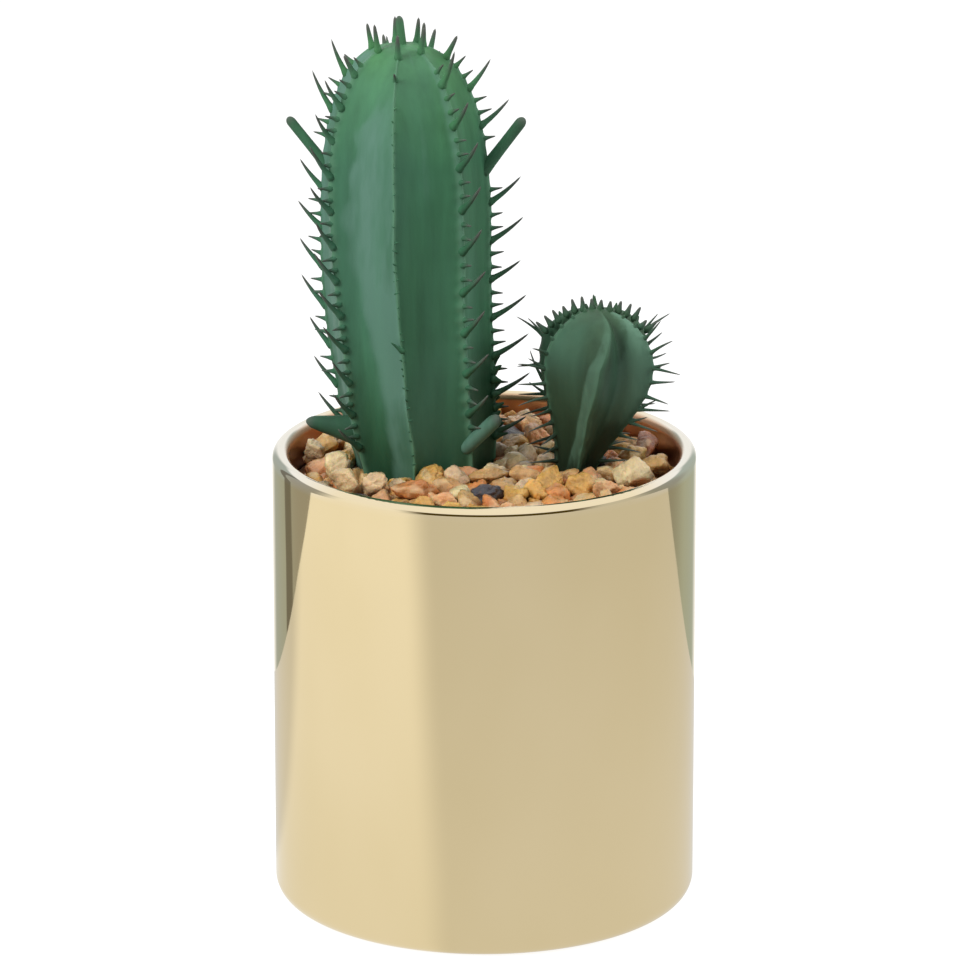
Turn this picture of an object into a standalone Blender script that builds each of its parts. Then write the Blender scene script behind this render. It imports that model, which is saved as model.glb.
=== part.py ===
"""Potted cereus cactus: two ribbed stems stand in gravel in a glazed cylinder pot.

Metres, +Z up. The origin is on the pot's axis, on the surface that it stands on.
The front faces -Y. An azimuth is in degrees round a stem: 0 is the front, and 90 is +X.
"""

import math
from dataclasses import dataclass

import bmesh
import bpy
import numpy as np
from mathutils import Vector

# Clearance between neighbouring pieces
GAP = 0.0003

# Pot
POT_RADIUS = 0.0375
POT_HEIGHT = 0.0824
POT_WALL = 0.003
POT_FLOOR = 0.005
POT_CORNER = 0.0033
POT_INNER_CORNER = 0.003
POT_INNER_RADIUS = POT_RADIUS - POT_WALL
FOOT_RING_WIDTH = 0.005
FOOT_RECESS = 0.001
POT_STEPS = 64
FILL_STEPS = 40
HOLE_STEPS = 24
LIP_STEPS = 6
CORNER_STEPS = 3

# Fill and gravel
SOIL_TOP = 0.0735
BED_TOP = 0.0792
BED_FALL_X = 2.2
BED_FALL_Y = 0.018
BED_RINGS = (0.020,)
STONE_SINK = 0.0012
STONE_RISE = 0.0023
STONE_ROOT = 0.0005
STONE_PACKING = 0.80
STONE_COUNT = 210
STONE_SPOTS = 80
STONE_LENGTH = (0.0025, 0.0034)
STONE_WIDTH = (0.72, 0.95)
STONE_DEPTH = (0.62, 0.85)
STONE_REACH = (0.78, 0.96)
STONE_SHOWS = 0.35
GRAVEL_SEED = 11
GRID_STEP = 0.0004

# The larger stones that stand out, in millimetres: x, y, z, half length, width and depth, yaw
LARGE_STONES = (
    (-23.5, -14.4, 80.0, 2.6, 2.2, 2.1, 0.3),
    (-19.6, -15.0, 80.2, 2.9, 2.2, 2.1, -0.3),
    (-15.2, -15.5, 79.6, 2.3, 1.8, 1.4, 0.0),
    (-11.5, -21.5, 80.2, 3.8, 2.6, 2.0, 0.1),
    (-9.5, -12.6, 80.2, 2.8, 2.5, 2.2, 0.0),
    (-4.6, -12.5, 80.2, 2.3, 2.4, 2.3, 0.5),
    (-4.1, -22.5, 80.2, 2.1, 1.9, 1.7, 0.4),
    (1.3, -11.5, 80.4, 3.9, 2.3, 2.1, 0.5),
    (0.5, -21.8, 80.2, 2.8, 2.1, 2.1, 0.6),
    (-6.5, -27.0, 80.6, 2.6, 2.0, 1.5, -0.2),
    (5.2, -21.5, 80.2, 2.3, 2.3, 2.2, 0.0),
    (9.4, -21.5, 80.2, 2.2, 2.2, 2.2, 0.8),
    (7.3, -10.5, 80.4, 2.6, 2.0, 1.8, 0.2),
    (11.7, -15.0, 80.2, 3.0, 2.6, 2.5, 0.1),
    (16.8, -17.0, 80.2, 2.7, 2.6, 2.6, 0.4),
    (21.6, -18.5, 80.3, 2.6, 1.9, 1.7, 0.5),
    (25.9, -9.6, 80.0, 3.7, 2.9, 2.9, 1.0),
    (30.6, -1.5, 79.6, 2.4, 2.4, 2.8, 0.0),
    (26.4, 5.5, 79.6, 2.4, 2.3, 2.0, 0.0),
    (28.6, 10.5, 79.4, 2.8, 2.2, 1.7, -1.2),
    (-30.4, 7.2, 80.0, 2.2, 2.1, 2.1, 0.0),
    (-27.8, 12.5, 79.6, 2.4, 2.2, 2.1, 1.1),
    (-26.1, -4.0, 79.8, 2.6, 2.5, 2.5, 0.0),
    (5.5, 22.0, 80.0, 2.2, 2.2, 2.0, 0.0),
    (9.6, 14.0, 79.8, 2.4, 2.2, 2.0, 0.6),
    (13.6, 18.0, 79.8, 2.0, 2.0, 2.0, 0.0),
)

# Spines
SPINE_SINK = 0.0008
CROWN_CLEAR = 0.0034
SPINE_CLEARANCE = 0.0007
SPINE_SEED = 5
PEG_SIDES = 8
ROLL_STEP = 2.4
WELD = 0.000001


@dataclass
class Stem:
    """A ribbed stem. It leans from its foot to its head, and its foot stands in a hole."""

    name: str
    foot: tuple
    head: tuple
    stub_height: float
    foot_height: float
    lean_from: float
    lean_to: float
    widest_height: float
    apex_height: float
    foot_radius: float
    crest_radius: float
    flare: float
    dome: float
    ribs: int
    first_rib: float
    rib_depth: float
    rib_shape: float
    fin: float
    drifts: dict

    def centre(self, height):
        """The centre of the section at a height."""
        share = (height - self.lean_from) / (self.lean_to - self.lean_from)
        lean = math.sin(math.pi / 2 * min(max(share, 0.0), 1.0))
        x = self.foot[0] + (self.head[0] - self.foot[0]) * lean
        y = self.foot[1] + (self.head[1] - self.foot[1]) * lean
        return Vector((x, y, height))

    def radius(self, height):
        """The radius at the rib crests."""
        if height >= self.widest_height:
            share = (height - self.widest_height) / (self.apex_height - self.widest_height)
            return self.crest_radius * max(1.0 - share ** self.dome, 0.0) ** (1.0 / self.dome)
        share = (height - self.foot_height) / (self.widest_height - self.foot_height)
        rise = math.sin(math.pi / 2 * max(share, 0.0)) ** self.flare
        return self.foot_radius + (self.crest_radius - self.foot_radius) * rise

    def rib_azimuth(self, rib):
        """The azimuth of a rib's crest."""
        return self.first_rib + rib * 360.0 / self.ribs

    def drift(self, azimuth, height):
        """How far a rib wanders sideways at a height, in degrees: most at its crest."""
        total = 0.0
        for rib, table in self.drifts.items():
            away = abs((azimuth - self.rib_azimuth(rib) + 180.0) % 360.0 - 180.0)
            share = max(1.0 - 2.0 * away * self.ribs / 360.0, 0.0)
            total += float(np.interp(height, *zip(*table))) * share
        return total * min(max((height - self.foot_height) / 0.003, 0.0), 1.0)

    def section(self, azimuth, height):
        """The share of the crest radius at an azimuth: 1 on a crest, less in a valley."""
        spacing = 360.0 / self.ribs
        offset = abs((azimuth - self.first_rib + spacing / 2) % spacing - spacing / 2)
        valley = math.sin(math.pi * offset / spacing) ** self.rib_shape
        ridge = self.fin * max(1.0 - offset / 4.0, 0.0)
        rooted = min(max((height - self.foot_height) / 0.003, 0.0), 1.0)
        return 1.0 - rooted * (self.rib_depth * valley - ridge)

    def point(self, azimuth, height, grow=0.0):
        """A point on the surface, moved out by grow."""
        angle = math.radians(azimuth + self.drift(azimuth, height))
        reach = self.radius(height) * self.section(azimuth, height) + grow
        return self.centre(height) + Vector((math.sin(angle), -math.cos(angle), 0.0)) * reach

    def crest_normal(self, azimuth, height):
        """The direction in which a rib's crest faces, seen along the rib."""
        step = 0.0004
        above = min(height + step, self.apex_height)
        fall = self.radius(height - step) - self.radius(above)
        angle = math.radians(azimuth + self.drift(azimuth, height))
        normal = Vector((math.sin(angle), -math.cos(angle), fall / (above - height + step)))
        return normal.normalized()

    def heights_down_rib(self, anchor, pitch, lowest):
        """Heights a pitch apart along a crest, with one of them at the anchor height."""
        heights = np.linspace(self.apex_height, lowest, 600)
        radii = np.array([self.radius(height) for height in heights])
        steps = np.hypot(np.diff(heights), np.diff(radii))
        run = np.concatenate(([0.0], np.cumsum(steps)))
        anchor_run = float(np.interp(-anchor, -heights, run))
        runs = np.arange(anchor_run % pitch, run[-1], pitch)
        return [float(height) for height in np.interp(runs, run, heights)]


TALL = Stem(
    name="tall_cactus",
    foot=(-0.0110, 0.003),
    head=(-0.0143, 0.003),
    stub_height=0.056,
    foot_height=0.0735,
    lean_from=0.079,
    lean_to=0.118,
    widest_height=0.120,
    apex_height=0.1548,
    foot_radius=0.0095,
    crest_radius=0.0153,
    flare=0.33,
    dome=2.5,
    ribs=7,
    first_rib=-8.0,
    rib_depth=0.15,
    rib_shape=1.0,
    fin=0.022,
    drifts={
        0: ((0.079, 3.0), (0.083, 4.3), (0.092, 5.6), (0.106, 5.5), (0.120, 3.6), (0.146, 1.7)),
        6: ((0.079, 10.0), (0.092, 11.0), (0.097, 14.0), (0.106, 14.0), (0.120, 8.0), (0.138, 0.0)),
    },
)

SMALL = Stem(
    name="small_cactus",
    foot=(0.0159, -0.0012),
    head=(0.0197, 0.0),
    stub_height=0.062,
    foot_height=0.077,
    lean_from=0.079,
    lean_to=0.098,
    widest_height=0.0985,
    apex_height=0.1079,
    foot_radius=0.0038,
    crest_radius=0.0109,
    flare=1.9,
    dome=2.0,
    ribs=6,
    first_rib=4.0,
    rib_depth=0.34,
    rib_shape=1.7,
    fin=0.0,
    drifts={
        0: ((0.079, 3.0), (0.083, -5.0), (0.090, -9.0), (0.0995, -1.0), (0.1065, 16.0)),
    },
)


@dataclass
class Spine:
    """A spine or peg: where it grows, which way it points, and its size."""

    azimuth: float
    height: float
    length: float
    radius: float
    lift: float
    curl: float = 0.0
    sides: int = 3
    blunt: bool = False
    turn: float = 0.0
    root: float = 1.0
    sink: float = SPINE_SINK


# Heights on each rib of the tall stem of one of its long spines; the front rib is first
TALL_ANCHORS = (0.1275, 0.1277, 0.1259, 0.1240, 0.1295, 0.1276, 0.1268)
TALL_LONG_PITCH = (0.0072, 0.0074, 0.0070, 0.0072, 0.0072, 0.0072, 0.0061)
TALL_LONG = 0.0070
TALL_LIFTS = (0.80, 0.66, 0.48, 0.75, 0.80, 0.80, 0.80)
TALL_CROWN = 0.0045
TALL_CROWN_FROM = 0.1500
TALL_SHORT = 0.0026
TALL_LOWEST = 0.0835

# Pegs on the tall stem: azimuth, height, length, radius, lift, turn, root widening and sink
TALL_PEGS = (
    (-110.9, 0.1322, 0.0102, 0.00085, 1.00, 0.0, 1.2, 0.0020),
    (94.9, 0.1325, 0.0108, 0.0010, 1.20, 0.0, 1.2, 0.0020),
    (43.4, 0.0852, 0.0078, 0.00122, 1.12, 22.0, 1.0, 0.0022),
    (-76.0, 0.0862, 0.0063, 0.0009, 0.34, -6.0, 3.0, 0.0038),
    (-90.0, 0.1548, 0.0050, 0.00072, 0.0, 0.0, 1.3, 0.0030),
)
PEG_CLEAR = 0.003

SMALL_PITCH = 0.0027
SMALL_LONG = 0.0055
SMALL_CROWN = 0.0022
SMALL_CROWN_FROM = 0.1035
SMALL_CROWN_PITCH = 0.0016
SMALL_LOWEST = 0.0800
SMALL_ANCHORS = (0.1000, 0.1010, 0.0995, 0.1005, 0.0990, 0.1012)


def new_collection(name):
    """A collection linked to the scene."""
    collection = bpy.data.collections.new(name)
    bpy.context.scene.collection.children.link(collection)
    return collection


def new_object(name, mesh, collection):
    """An object that holds a mesh, in a collection."""
    piece = bpy.data.objects.new(name, mesh)
    collection.objects.link(piece)
    return piece


def material(name, colour, roughness, metallic):
    """A plain Principled BSDF material."""
    finish = bpy.data.materials.new(name)
    finish.use_nodes = True
    shader = finish.node_tree.nodes["Principled BSDF"]
    shader.inputs["Base Color"].default_value = (*colour, 1.0)
    shader.inputs["Roughness"].default_value = roughness
    shader.inputs["Metallic"].default_value = metallic
    return finish


def arc(centre, radius, start, end, steps):
    """Points on an arc from a start angle to an end angle, in degrees."""
    angles = [math.radians(start + (end - start) * i / steps) for i in range(steps + 1)]
    return [(centre[0] + radius * math.cos(a), centre[1] + radius * math.sin(a)) for a in angles]


def turned(name, profile, steps, collection):
    """A solid turned from a profile of radius and height, which runs down its outer side."""
    mesh = bpy.data.meshes.new(name)
    edges = [(i, i + 1) for i in range(len(profile) - 1)]
    mesh.from_pydata([(r, 0.0, z) for r, z in profile], edges, [])
    piece = new_object(name, mesh, collection)
    screw = piece.modifiers.new("turn", "SCREW")
    screw.steps = steps
    screw.render_steps = steps
    screw.use_merge_vertices = True
    screw.merge_threshold = 0.00001
    return piece


def apply_modifiers(piece):
    """Replace an object's mesh by what its modifiers make of it."""
    graph = bpy.context.evaluated_depsgraph_get()
    mesh = bpy.data.meshes.new_from_object(piece.evaluated_get(graph))
    piece.modifiers.clear()
    piece.data = mesh


def shade(piece, angle):
    """Shade a piece smooth, with edges sharper than an angle kept."""
    piece.data.shade_smooth()
    piece.data.set_sharp_from_angle(angle=math.radians(angle))


def fuse(body, pieces):
    """Join a body and a collection of overlapping pieces in one solid."""
    union = body.modifiers.new("fuse", "BOOLEAN")
    union.operation = "UNION"
    union.solver = "MANIFOLD"
    union.operand_type = "COLLECTION"
    union.collection = pieces
    apply_modifiers(body)
    for piece in list(pieces.objects):
        bpy.data.objects.remove(piece)
    bpy.data.collections.remove(pieces)


def cut(body, cutter, solver="EXACT"):
    """Cut a body by a cutter, which then goes."""
    difference = body.modifiers.new("cut", "BOOLEAN")
    difference.operation = "DIFFERENCE"
    difference.solver = solver
    difference.object = cutter
    apply_modifiers(body)
    bpy.data.objects.remove(cutter)


def keep_largest_shell(piece):
    """Drop loose scraps and fill sealed hollows: only the largest closed surface stays."""
    mesh = bmesh.new()
    mesh.from_mesh(piece.data)
    bmesh.ops.remove_doubles(mesh, verts=mesh.verts, dist=WELD)
    bmesh.ops.dissolve_degenerate(mesh, edges=mesh.edges, dist=WELD)
    bmesh.ops.delete(mesh, geom=[edge for edge in mesh.edges if edge.is_wire], context="EDGES")
    bmesh.ops.holes_fill(mesh, edges=[edge for edge in mesh.edges if edge.is_boundary], sides=0)
    bmesh.ops.triangulate(mesh, faces=mesh.faces)
    unseen = set(mesh.verts)
    shells = []
    while unseen:
        shell = {unseen.pop()}
        front = list(shell)
        while front:
            vert = front.pop()
            for edge in vert.link_edges:
                other = edge.other_vert(vert)
                if other in unseen:
                    unseen.remove(other)
                    shell.add(other)
                    front.append(other)
        shells.append(shell)
    shells.sort(key=len)
    for shell in shells[:-1]:
        bmesh.ops.delete(mesh, geom=list(shell), context="VERTS")
    mesh.to_mesh(piece.data)
    mesh.free()


def make_pot(collection):
    """The pot: a straight wall with a full-round lip, a thick floor and a foot ring."""
    wall_mid = POT_RADIUS - POT_WALL / 2
    lip_base = POT_HEIGHT - POT_WALL / 2
    inner_edge = POT_INNER_RADIUS - POT_INNER_CORNER
    ring_outer = POT_RADIUS - POT_CORNER
    ring_inner = ring_outer - FOOT_RING_WIDTH
    profile = [(0.0, POT_FLOOR)]
    profile += arc((inner_edge, POT_FLOOR + POT_INNER_CORNER), POT_INNER_CORNER, -90, 0, CORNER_STEPS)
    profile += arc((wall_mid, lip_base), POT_WALL / 2, 180, 0, LIP_STEPS)
    profile += arc((ring_outer, POT_CORNER), POT_CORNER, 0, -90, CORNER_STEPS)
    profile += [(ring_inner, 0.0), (ring_inner - FOOT_RECESS, FOOT_RECESS), (0.0, FOOT_RECESS)]
    pot = turned("pot", profile, POT_STEPS, collection)
    pot.data.materials.append(material("gold_glaze", (0.83, 0.69, 0.42), 0.08, 1.0))
    apply_modifiers(pot)
    shade(pot, 40)
    return pot


def make_soil(collection):
    """The fill: it follows the pot's inside and has a plain round hole for each stem's foot."""
    edge = POT_INNER_RADIUS - GAP
    corner = (POT_INNER_RADIUS - POT_INNER_CORNER, POT_FLOOR + POT_INNER_CORNER)
    profile = [(0.0, SOIL_TOP), (edge, SOIL_TOP)]
    profile += arc(corner, POT_INNER_CORNER - GAP, 0, -90, CORNER_STEPS)
    profile.append((0.0, POT_FLOOR + GAP))
    soil = turned("soil_fill", profile, FILL_STEPS, collection)
    soil.data.materials.append(material("soil", (0.06, 0.04, 0.028), 0.95, 0.0))
    apply_modifiers(soil)
    for stem in (TALL, SMALL):
        cut(soil, hole_cutter(stem, stem.stub_height - GAP))
    keep_largest_shell(soil)
    shade(soil, 30)
    return soil


def hole_cutter(stem, bottom):
    """A round cutter a little wider than a stem's foot, from a height up past the fill."""
    top = BED_TOP
    radius = stem.foot_radius + 1.5 * GAP
    middle = (stem.foot[0], stem.foot[1], (top + bottom) / 2)
    mesh = bmesh.new()
    bmesh.ops.create_cone(
        mesh, cap_ends=True, segments=HOLE_STEPS, radius1=radius, radius2=radius, depth=top - bottom
    )
    bmesh.ops.translate(mesh, verts=mesh.verts, vec=middle)
    data = bpy.data.meshes.new("hole")
    mesh.to_mesh(data)
    mesh.free()
    return new_object("hole", data, CUTTERS)


def bed_height(x, y):
    """The height of the bed between the stones: it falls to the sides and the back."""
    return BED_TOP - BED_FALL_X * x * x - BED_FALL_Y * (y + POT_RADIUS / 2)


class Pile:
    """Stones that lie in a bed and on each other, and the height of their surface on a grid."""

    def __init__(self):
        self.axis = np.arange(-POT_RADIUS, POT_RADIUS + GRID_STEP, GRID_STEP)
        self.x, self.y = np.meshgrid(self.axis, self.axis, indexing="ij")
        self.surface = bed_height(self.x, self.y) - STONE_SINK
        self.surface[np.hypot(self.x, self.y) > POT_INNER_RADIUS - GAP] = POT_HEIGHT
        self.owner = np.full(self.x.shape, -1)
        self.stones = []
        self.random = np.random.default_rng(GRAVEL_SEED)
        for stem in (TALL, SMALL):
            centre = stem.centre(BED_TOP)
            away = np.hypot(self.x - centre.x, self.y - centre.y)
            self.surface[away < stem.radius(BED_TOP) * 0.95] = POT_HEIGHT

    def lay(self, spot, height, half, yaw):
        """Add a stone with its centre at a spot and height."""
        window, depth = stone_patch(self.axis, spot, half * STONE_PACKING, yaw)
        top = np.where(depth > -1.0, height + depth, 0.0)
        self.owner[window] = np.where(top > self.surface[window], len(self.stones), self.owner[window])
        self.surface[window] = np.maximum(self.surface[window], top)
        self.stones.append((Vector((*spot, height)), half, yaw, np.count_nonzero(top)))

    def drop(self, count):
        """Drop stones one by one, each at the spot of a few where it stands lowest over the bed."""
        for _ in range(count):
            length = self.random.uniform(*STONE_LENGTH)
            width = length * self.random.uniform(*STONE_WIDTH)
            half = np.array([length, width, length * self.random.uniform(*STONE_DEPTH)])
            places = [self.rest(half) for _ in range(STONE_SPOTS)]
            rise, spot, height, yaw = min(places, key=lambda place: place[0])
            if rise < STONE_RISE:
                self.lay(spot, height, half, yaw)

    def rest(self, half):
        """A random spot where a stone would come to rest, and how far it would stand over the bed."""
        reach = (POT_INNER_RADIUS - GAP - half[1]) * math.sqrt(self.random.uniform())
        bearing = self.random.uniform(0.0, math.tau)
        yaw = self.random.uniform(0.0, math.pi)
        if reach > POT_INNER_RADIUS - GAP - half[0]:
            yaw = bearing + math.pi / 2
        spot = (reach * math.cos(bearing), reach * math.sin(bearing))
        window, depth = stone_patch(self.axis, spot, half * STONE_PACKING, yaw)
        height = float(np.max(self.surface[window] + depth))
        return height + half[2] * STONE_PACKING - bed_height(*spot), spot, height, yaw

    def shown(self, number):
        """The share of a stone that shows from above."""
        return np.count_nonzero(self.owner == number) / self.stones[number][3]


def pile_stones():
    """The gravel: the large stones, and smaller stones dropped round them."""
    pile = Pile()
    for x, y, z, *half, yaw in LARGE_STONES:
        pile.lay((x / 1000, y / 1000), z / 1000, np.array(half) / 1000, yaw)
    pile.drop(STONE_COUNT)
    pile.surface = np.maximum(pile.surface, bed_height(pile.x, pile.y))
    return pile


def stone_patch(axis, spot, half, yaw):
    """The grid window that a stone covers, and its half height at each point there."""
    first = [int((value - half[0] - axis[0]) / GRID_STEP) for value in spot]
    last = [int((value + half[0] - axis[0]) / GRID_STEP) + 2 for value in spot]
    window = (slice(max(first[0], 0), last[0]), slice(max(first[1], 0), last[1]))
    across, along = np.meshgrid(axis[window[0]] - spot[0], axis[window[1]] - spot[1], indexing="ij")
    u = (across * math.cos(yaw) + along * math.sin(yaw)) / half[0]
    v = (along * math.cos(yaw) - across * math.sin(yaw)) / half[1]
    inside = 1.0 - u * u - v * v
    depth = np.where(inside > 0.0, half[2] * np.sqrt(np.maximum(inside, 0.0)), -2.0)
    return window, depth


def make_gravel(collection, pile):
    """The gravel: a thin bed with faceted stones fused to it, cut clear of both stems."""
    random = np.random.default_rng(GRAVEL_SEED + 1)
    edge = POT_INNER_RADIUS - GAP
    bottom = SOIL_TOP + GAP
    profile = [(reach, BED_TOP) for reach in (0.0, *BED_RINGS, edge)]
    profile += [(edge, bottom), (0.0, bottom)]
    gravel = turned("gravel", profile, FILL_STEPS, collection)
    apply_modifiers(gravel)
    for vert in gravel.data.vertices:
        if vert.co.z > bottom + GAP:
            vert.co.z = bed_height(vert.co.x, vert.co.y)
    pieces = new_collection("stones")
    for number, (centre, half, yaw, _) in enumerate(pile.stones):
        if pile.shown(number) < STONE_SHOWS:
            continue
        root = bed_height(centre.x, centre.y) - STONE_ROOT
        mesh = bmesh.new()
        bmesh.ops.create_icosphere(mesh, subdivisions=1, radius=1.0)
        turn = Vector(random.normal(size=3)).normalized()
        spin = turn.rotation_difference(Vector((0.0, 0.0, 1.0)))
        for vert in mesh.verts:
            vert.co.rotate(spin)
            vert.co *= random.uniform(*STONE_REACH)
            x = vert.co.x * half[0]
            y = vert.co.y * half[1]
            z = centre.z + vert.co.z * half[2]
            vert.co.z = min(z, root) if vert.co.z < -0.5 else z
            vert.co.x = centre.x + x * math.cos(yaw) - y * math.sin(yaw)
            vert.co.y = centre.y + x * math.sin(yaw) + y * math.cos(yaw)
        bmesh.ops.triangulate(mesh, faces=mesh.faces)
        data = bpy.data.meshes.new("stone")
        mesh.to_mesh(data)
        mesh.free()
        new_object(f"stone_{number}", data, pieces)
    fuse(gravel, pieces)
    for stem in (TALL, SMALL):
        cut(gravel, new_object("stem_room", stem_mesh(stem, GAP * 1.3, True), CUTTERS), "MANIFOLD")
    keep_largest_shell(gravel)
    gravel.data.shade_flat()
    gravel.data.materials.clear()
    gravel.data.materials.append(material("gravel", (0.62, 0.38, 0.18), 0.3, 0.0))
    return gravel


def stem_columns(stem):
    """The azimuths of a stem's lengthwise edges, close together at the rib crests."""
    spacing = 360.0 / stem.ribs
    offsets = (-0.36, -0.13, 0.0, 0.13, 0.36, 0.5)
    return [stem.rib_azimuth(rib) + share * spacing for rib in range(stem.ribs) for share in offsets]


def stem_levels(stem):
    """The heights of a stem's sections, closer together at the foot and the apex."""
    lower = stem.widest_height - stem.foot_height
    upper = stem.apex_height - stem.widest_height
    low_steps = round(lower / 0.0046)
    high_steps = max(round(upper / 0.0034), 6)
    levels = [stem.foot_height + lower * (i / low_steps) ** 1.5 for i in range(low_steps)]
    levels += [stem.widest_height + upper * math.sin(math.pi / 2 * i / high_steps) for i in range(high_steps)]
    return levels


def stem_mesh(stem, grow, open_foot):
    """A stem's body, lofted through its sections, with its round foot below.

    A cutter's body is grown and has an open foot, which reaches below the gravel.
    """
    mesh = bmesh.new()
    columns = stem_columns(stem)
    bottom = SOIL_TOP - 0.002 if open_foot else stem.stub_height
    rings = []
    for level in [bottom] + stem_levels(stem):
        rings.append([mesh.verts.new(stem.point(azimuth, level, grow)) for azimuth in columns])
    count = len(columns)
    for low, high in zip(rings, rings[1:]):
        for i in range(count):
            j = (i + 1) % count
            mesh.faces.new((low[i], low[j], high[j], high[i]))
    mesh.faces.new(reversed(rings[0]))
    apex = mesh.verts.new(stem.centre(stem.apex_height) + Vector((0.0, 0.0, grow)))
    for i in range(count):
        mesh.faces.new((rings[-1][i], rings[-1][(i + 1) % count], apex))
    bmesh.ops.triangulate(mesh, faces=mesh.faces)
    data = bpy.data.meshes.new(stem.name)
    mesh.to_mesh(data)
    mesh.free()
    return data


def tall_spines():
    """The spines and pegs of the tall stem, rib by rib."""
    random = np.random.default_rng(SPINE_SEED)
    spines = []
    for azimuth, height, length, radius, lift, turn, root, sink in TALL_PEGS:
        peg = Spine(azimuth, height, length, radius, lift, 0.0, PEG_SIDES, True, turn, root, sink)
        spines.append(peg)
    for rib in range(TALL.ribs):
        azimuth = TALL.rib_azimuth(rib)
        pitch = TALL_LONG_PITCH[rib] / 3
        heights = TALL.heights_down_rib(TALL_ANCHORS[rib], pitch, TALL_LOWEST)
        long_heights = TALL.heights_down_rib(TALL_ANCHORS[rib], pitch * 3, TALL_LOWEST)
        for height in heights:
            is_long = min(abs(height - other) for other in long_heights) < pitch / 3
            size = random.uniform(0.88, 1.10)
            if not wanted_on_tall(rib, azimuth, height, is_long):
                continue
            if is_long:
                longest = TALL_CROWN if height > TALL_CROWN_FROM else TALL_LONG
                spines.append(Spine(azimuth, height, longest * size, 0.0006, TALL_LIFTS[rib], 0.12))
            else:
                spines.append(Spine(azimuth, height, TALL_SHORT * size, 0.00045, 0.12))
    return spines


def wanted_on_tall(rib, azimuth, height, is_long):
    """Whether a spine is there: none beside a peg or at the very apex, few on the front rib."""
    if TALL.radius(height) < CROWN_CLEAR:
        return False
    if rib == 0 and height < 0.1495:
        return False
    for peg in TALL_PEGS:
        swing = abs((azimuth - peg[0] + 180.0) % 360.0 - 180.0)
        if swing < 15.0 and abs(height - peg[1]) < PEG_CLEAR:
            return False
    return is_long or height < 0.152


def small_spines():
    """The spines of the small stem: short and thick over the crown, thin and long below it."""
    random = np.random.default_rng(SPINE_SEED + 1)
    spines = []
    for rib in range(SMALL.ribs):
        azimuth = SMALL.rib_azimuth(rib)
        heights = SMALL.heights_down_rib(SMALL_ANCHORS[rib], SMALL_PITCH, SMALL_LOWEST)
        for height in heights:
            size = random.uniform(0.75, 1.12)
            if SMALL.radius(height) < 0.0015 and height > SMALL.widest_height:
                continue
            if rib == 0:
                continue
            if height > SMALL_CROWN_FROM:
                length = SMALL_CROWN * (1.0 if rib == 3 else 0.45)
                spines.append(Spine(azimuth, height, length * size, 0.0006, 0.3))
            else:
                spines.append(Spine(azimuth, height, SMALL_LONG * size, 0.00042, 0.2, 0.06))
    return spines + crown_row(random)


def crown_row(random):
    """The row of short thick spines over the small stem's dome, from side to side."""
    spines = []
    for side in (-90.0, 90.0):
        start = SMALL.apex_height - 0.00002
        for height in SMALL.heights_down_rib(start, SMALL_CROWN_PITCH, SMALL_CROWN_FROM):
            if SMALL.radius(height) < 0.0006:
                continue
            azimuth = side + random.uniform(-12.0, 12.0)
            size = random.uniform(0.85, 1.15)
            spines.append(Spine(azimuth, height, SMALL_CROWN * size, 0.0007, 0.15, sides=4))
    return spines


def samples(root, direction, length):
    """Points along a spine, for clearance tests."""
    return [root + direction * length * share for share in (0.4, 0.6, 0.8, 1.0)]


def blocked(point, radius, pile, taken):
    """Whether a point is too near the gravel, the pot's wall or a point that is taken."""
    clear = radius + SPINE_CLEARANCE
    reach = math.hypot(point.x, point.y)
    if reach < POT_INNER_RADIUS:
        i = int(round((point.x - pile.axis[0]) / GRID_STEP))
        j = int(round((point.y - pile.axis[0]) / GRID_STEP))
        around = pile.surface[i - 2:i + 3, j - 2:j + 3]
        ground = around[around < POT_HEIGHT - GAP]
        if len(ground) and point.z < ground.max() + clear:
            return True
    if reach > POT_INNER_RADIUS - clear and point.z < POT_HEIGHT + clear:
        return True
    return any((point - other).length < clear + 0.0005 for other in taken)


def placed(stem, spine, pile, taken):
    """The root and direction of a spine, bent up step by step until it is clear."""
    normal = stem.crest_normal(spine.azimuth, spine.height)
    angle = math.radians(spine.turn)
    x = normal.x * math.cos(angle) - normal.y * math.sin(angle)
    y = normal.x * math.sin(angle) + normal.y * math.cos(angle)
    surface_point = stem.point(spine.azimuth, spine.height)
    lift = spine.lift
    for _ in range(20):
        direction = Vector((x, y, normal.z + lift)).normalized()
        root = surface_point - direction * spine.sink
        points = samples(root, direction, spine.length + spine.sink)
        if not any(blocked(point, spine.radius, pile, taken) for point in points):
            return root, direction, points
        lift += 0.12
    return None


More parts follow.
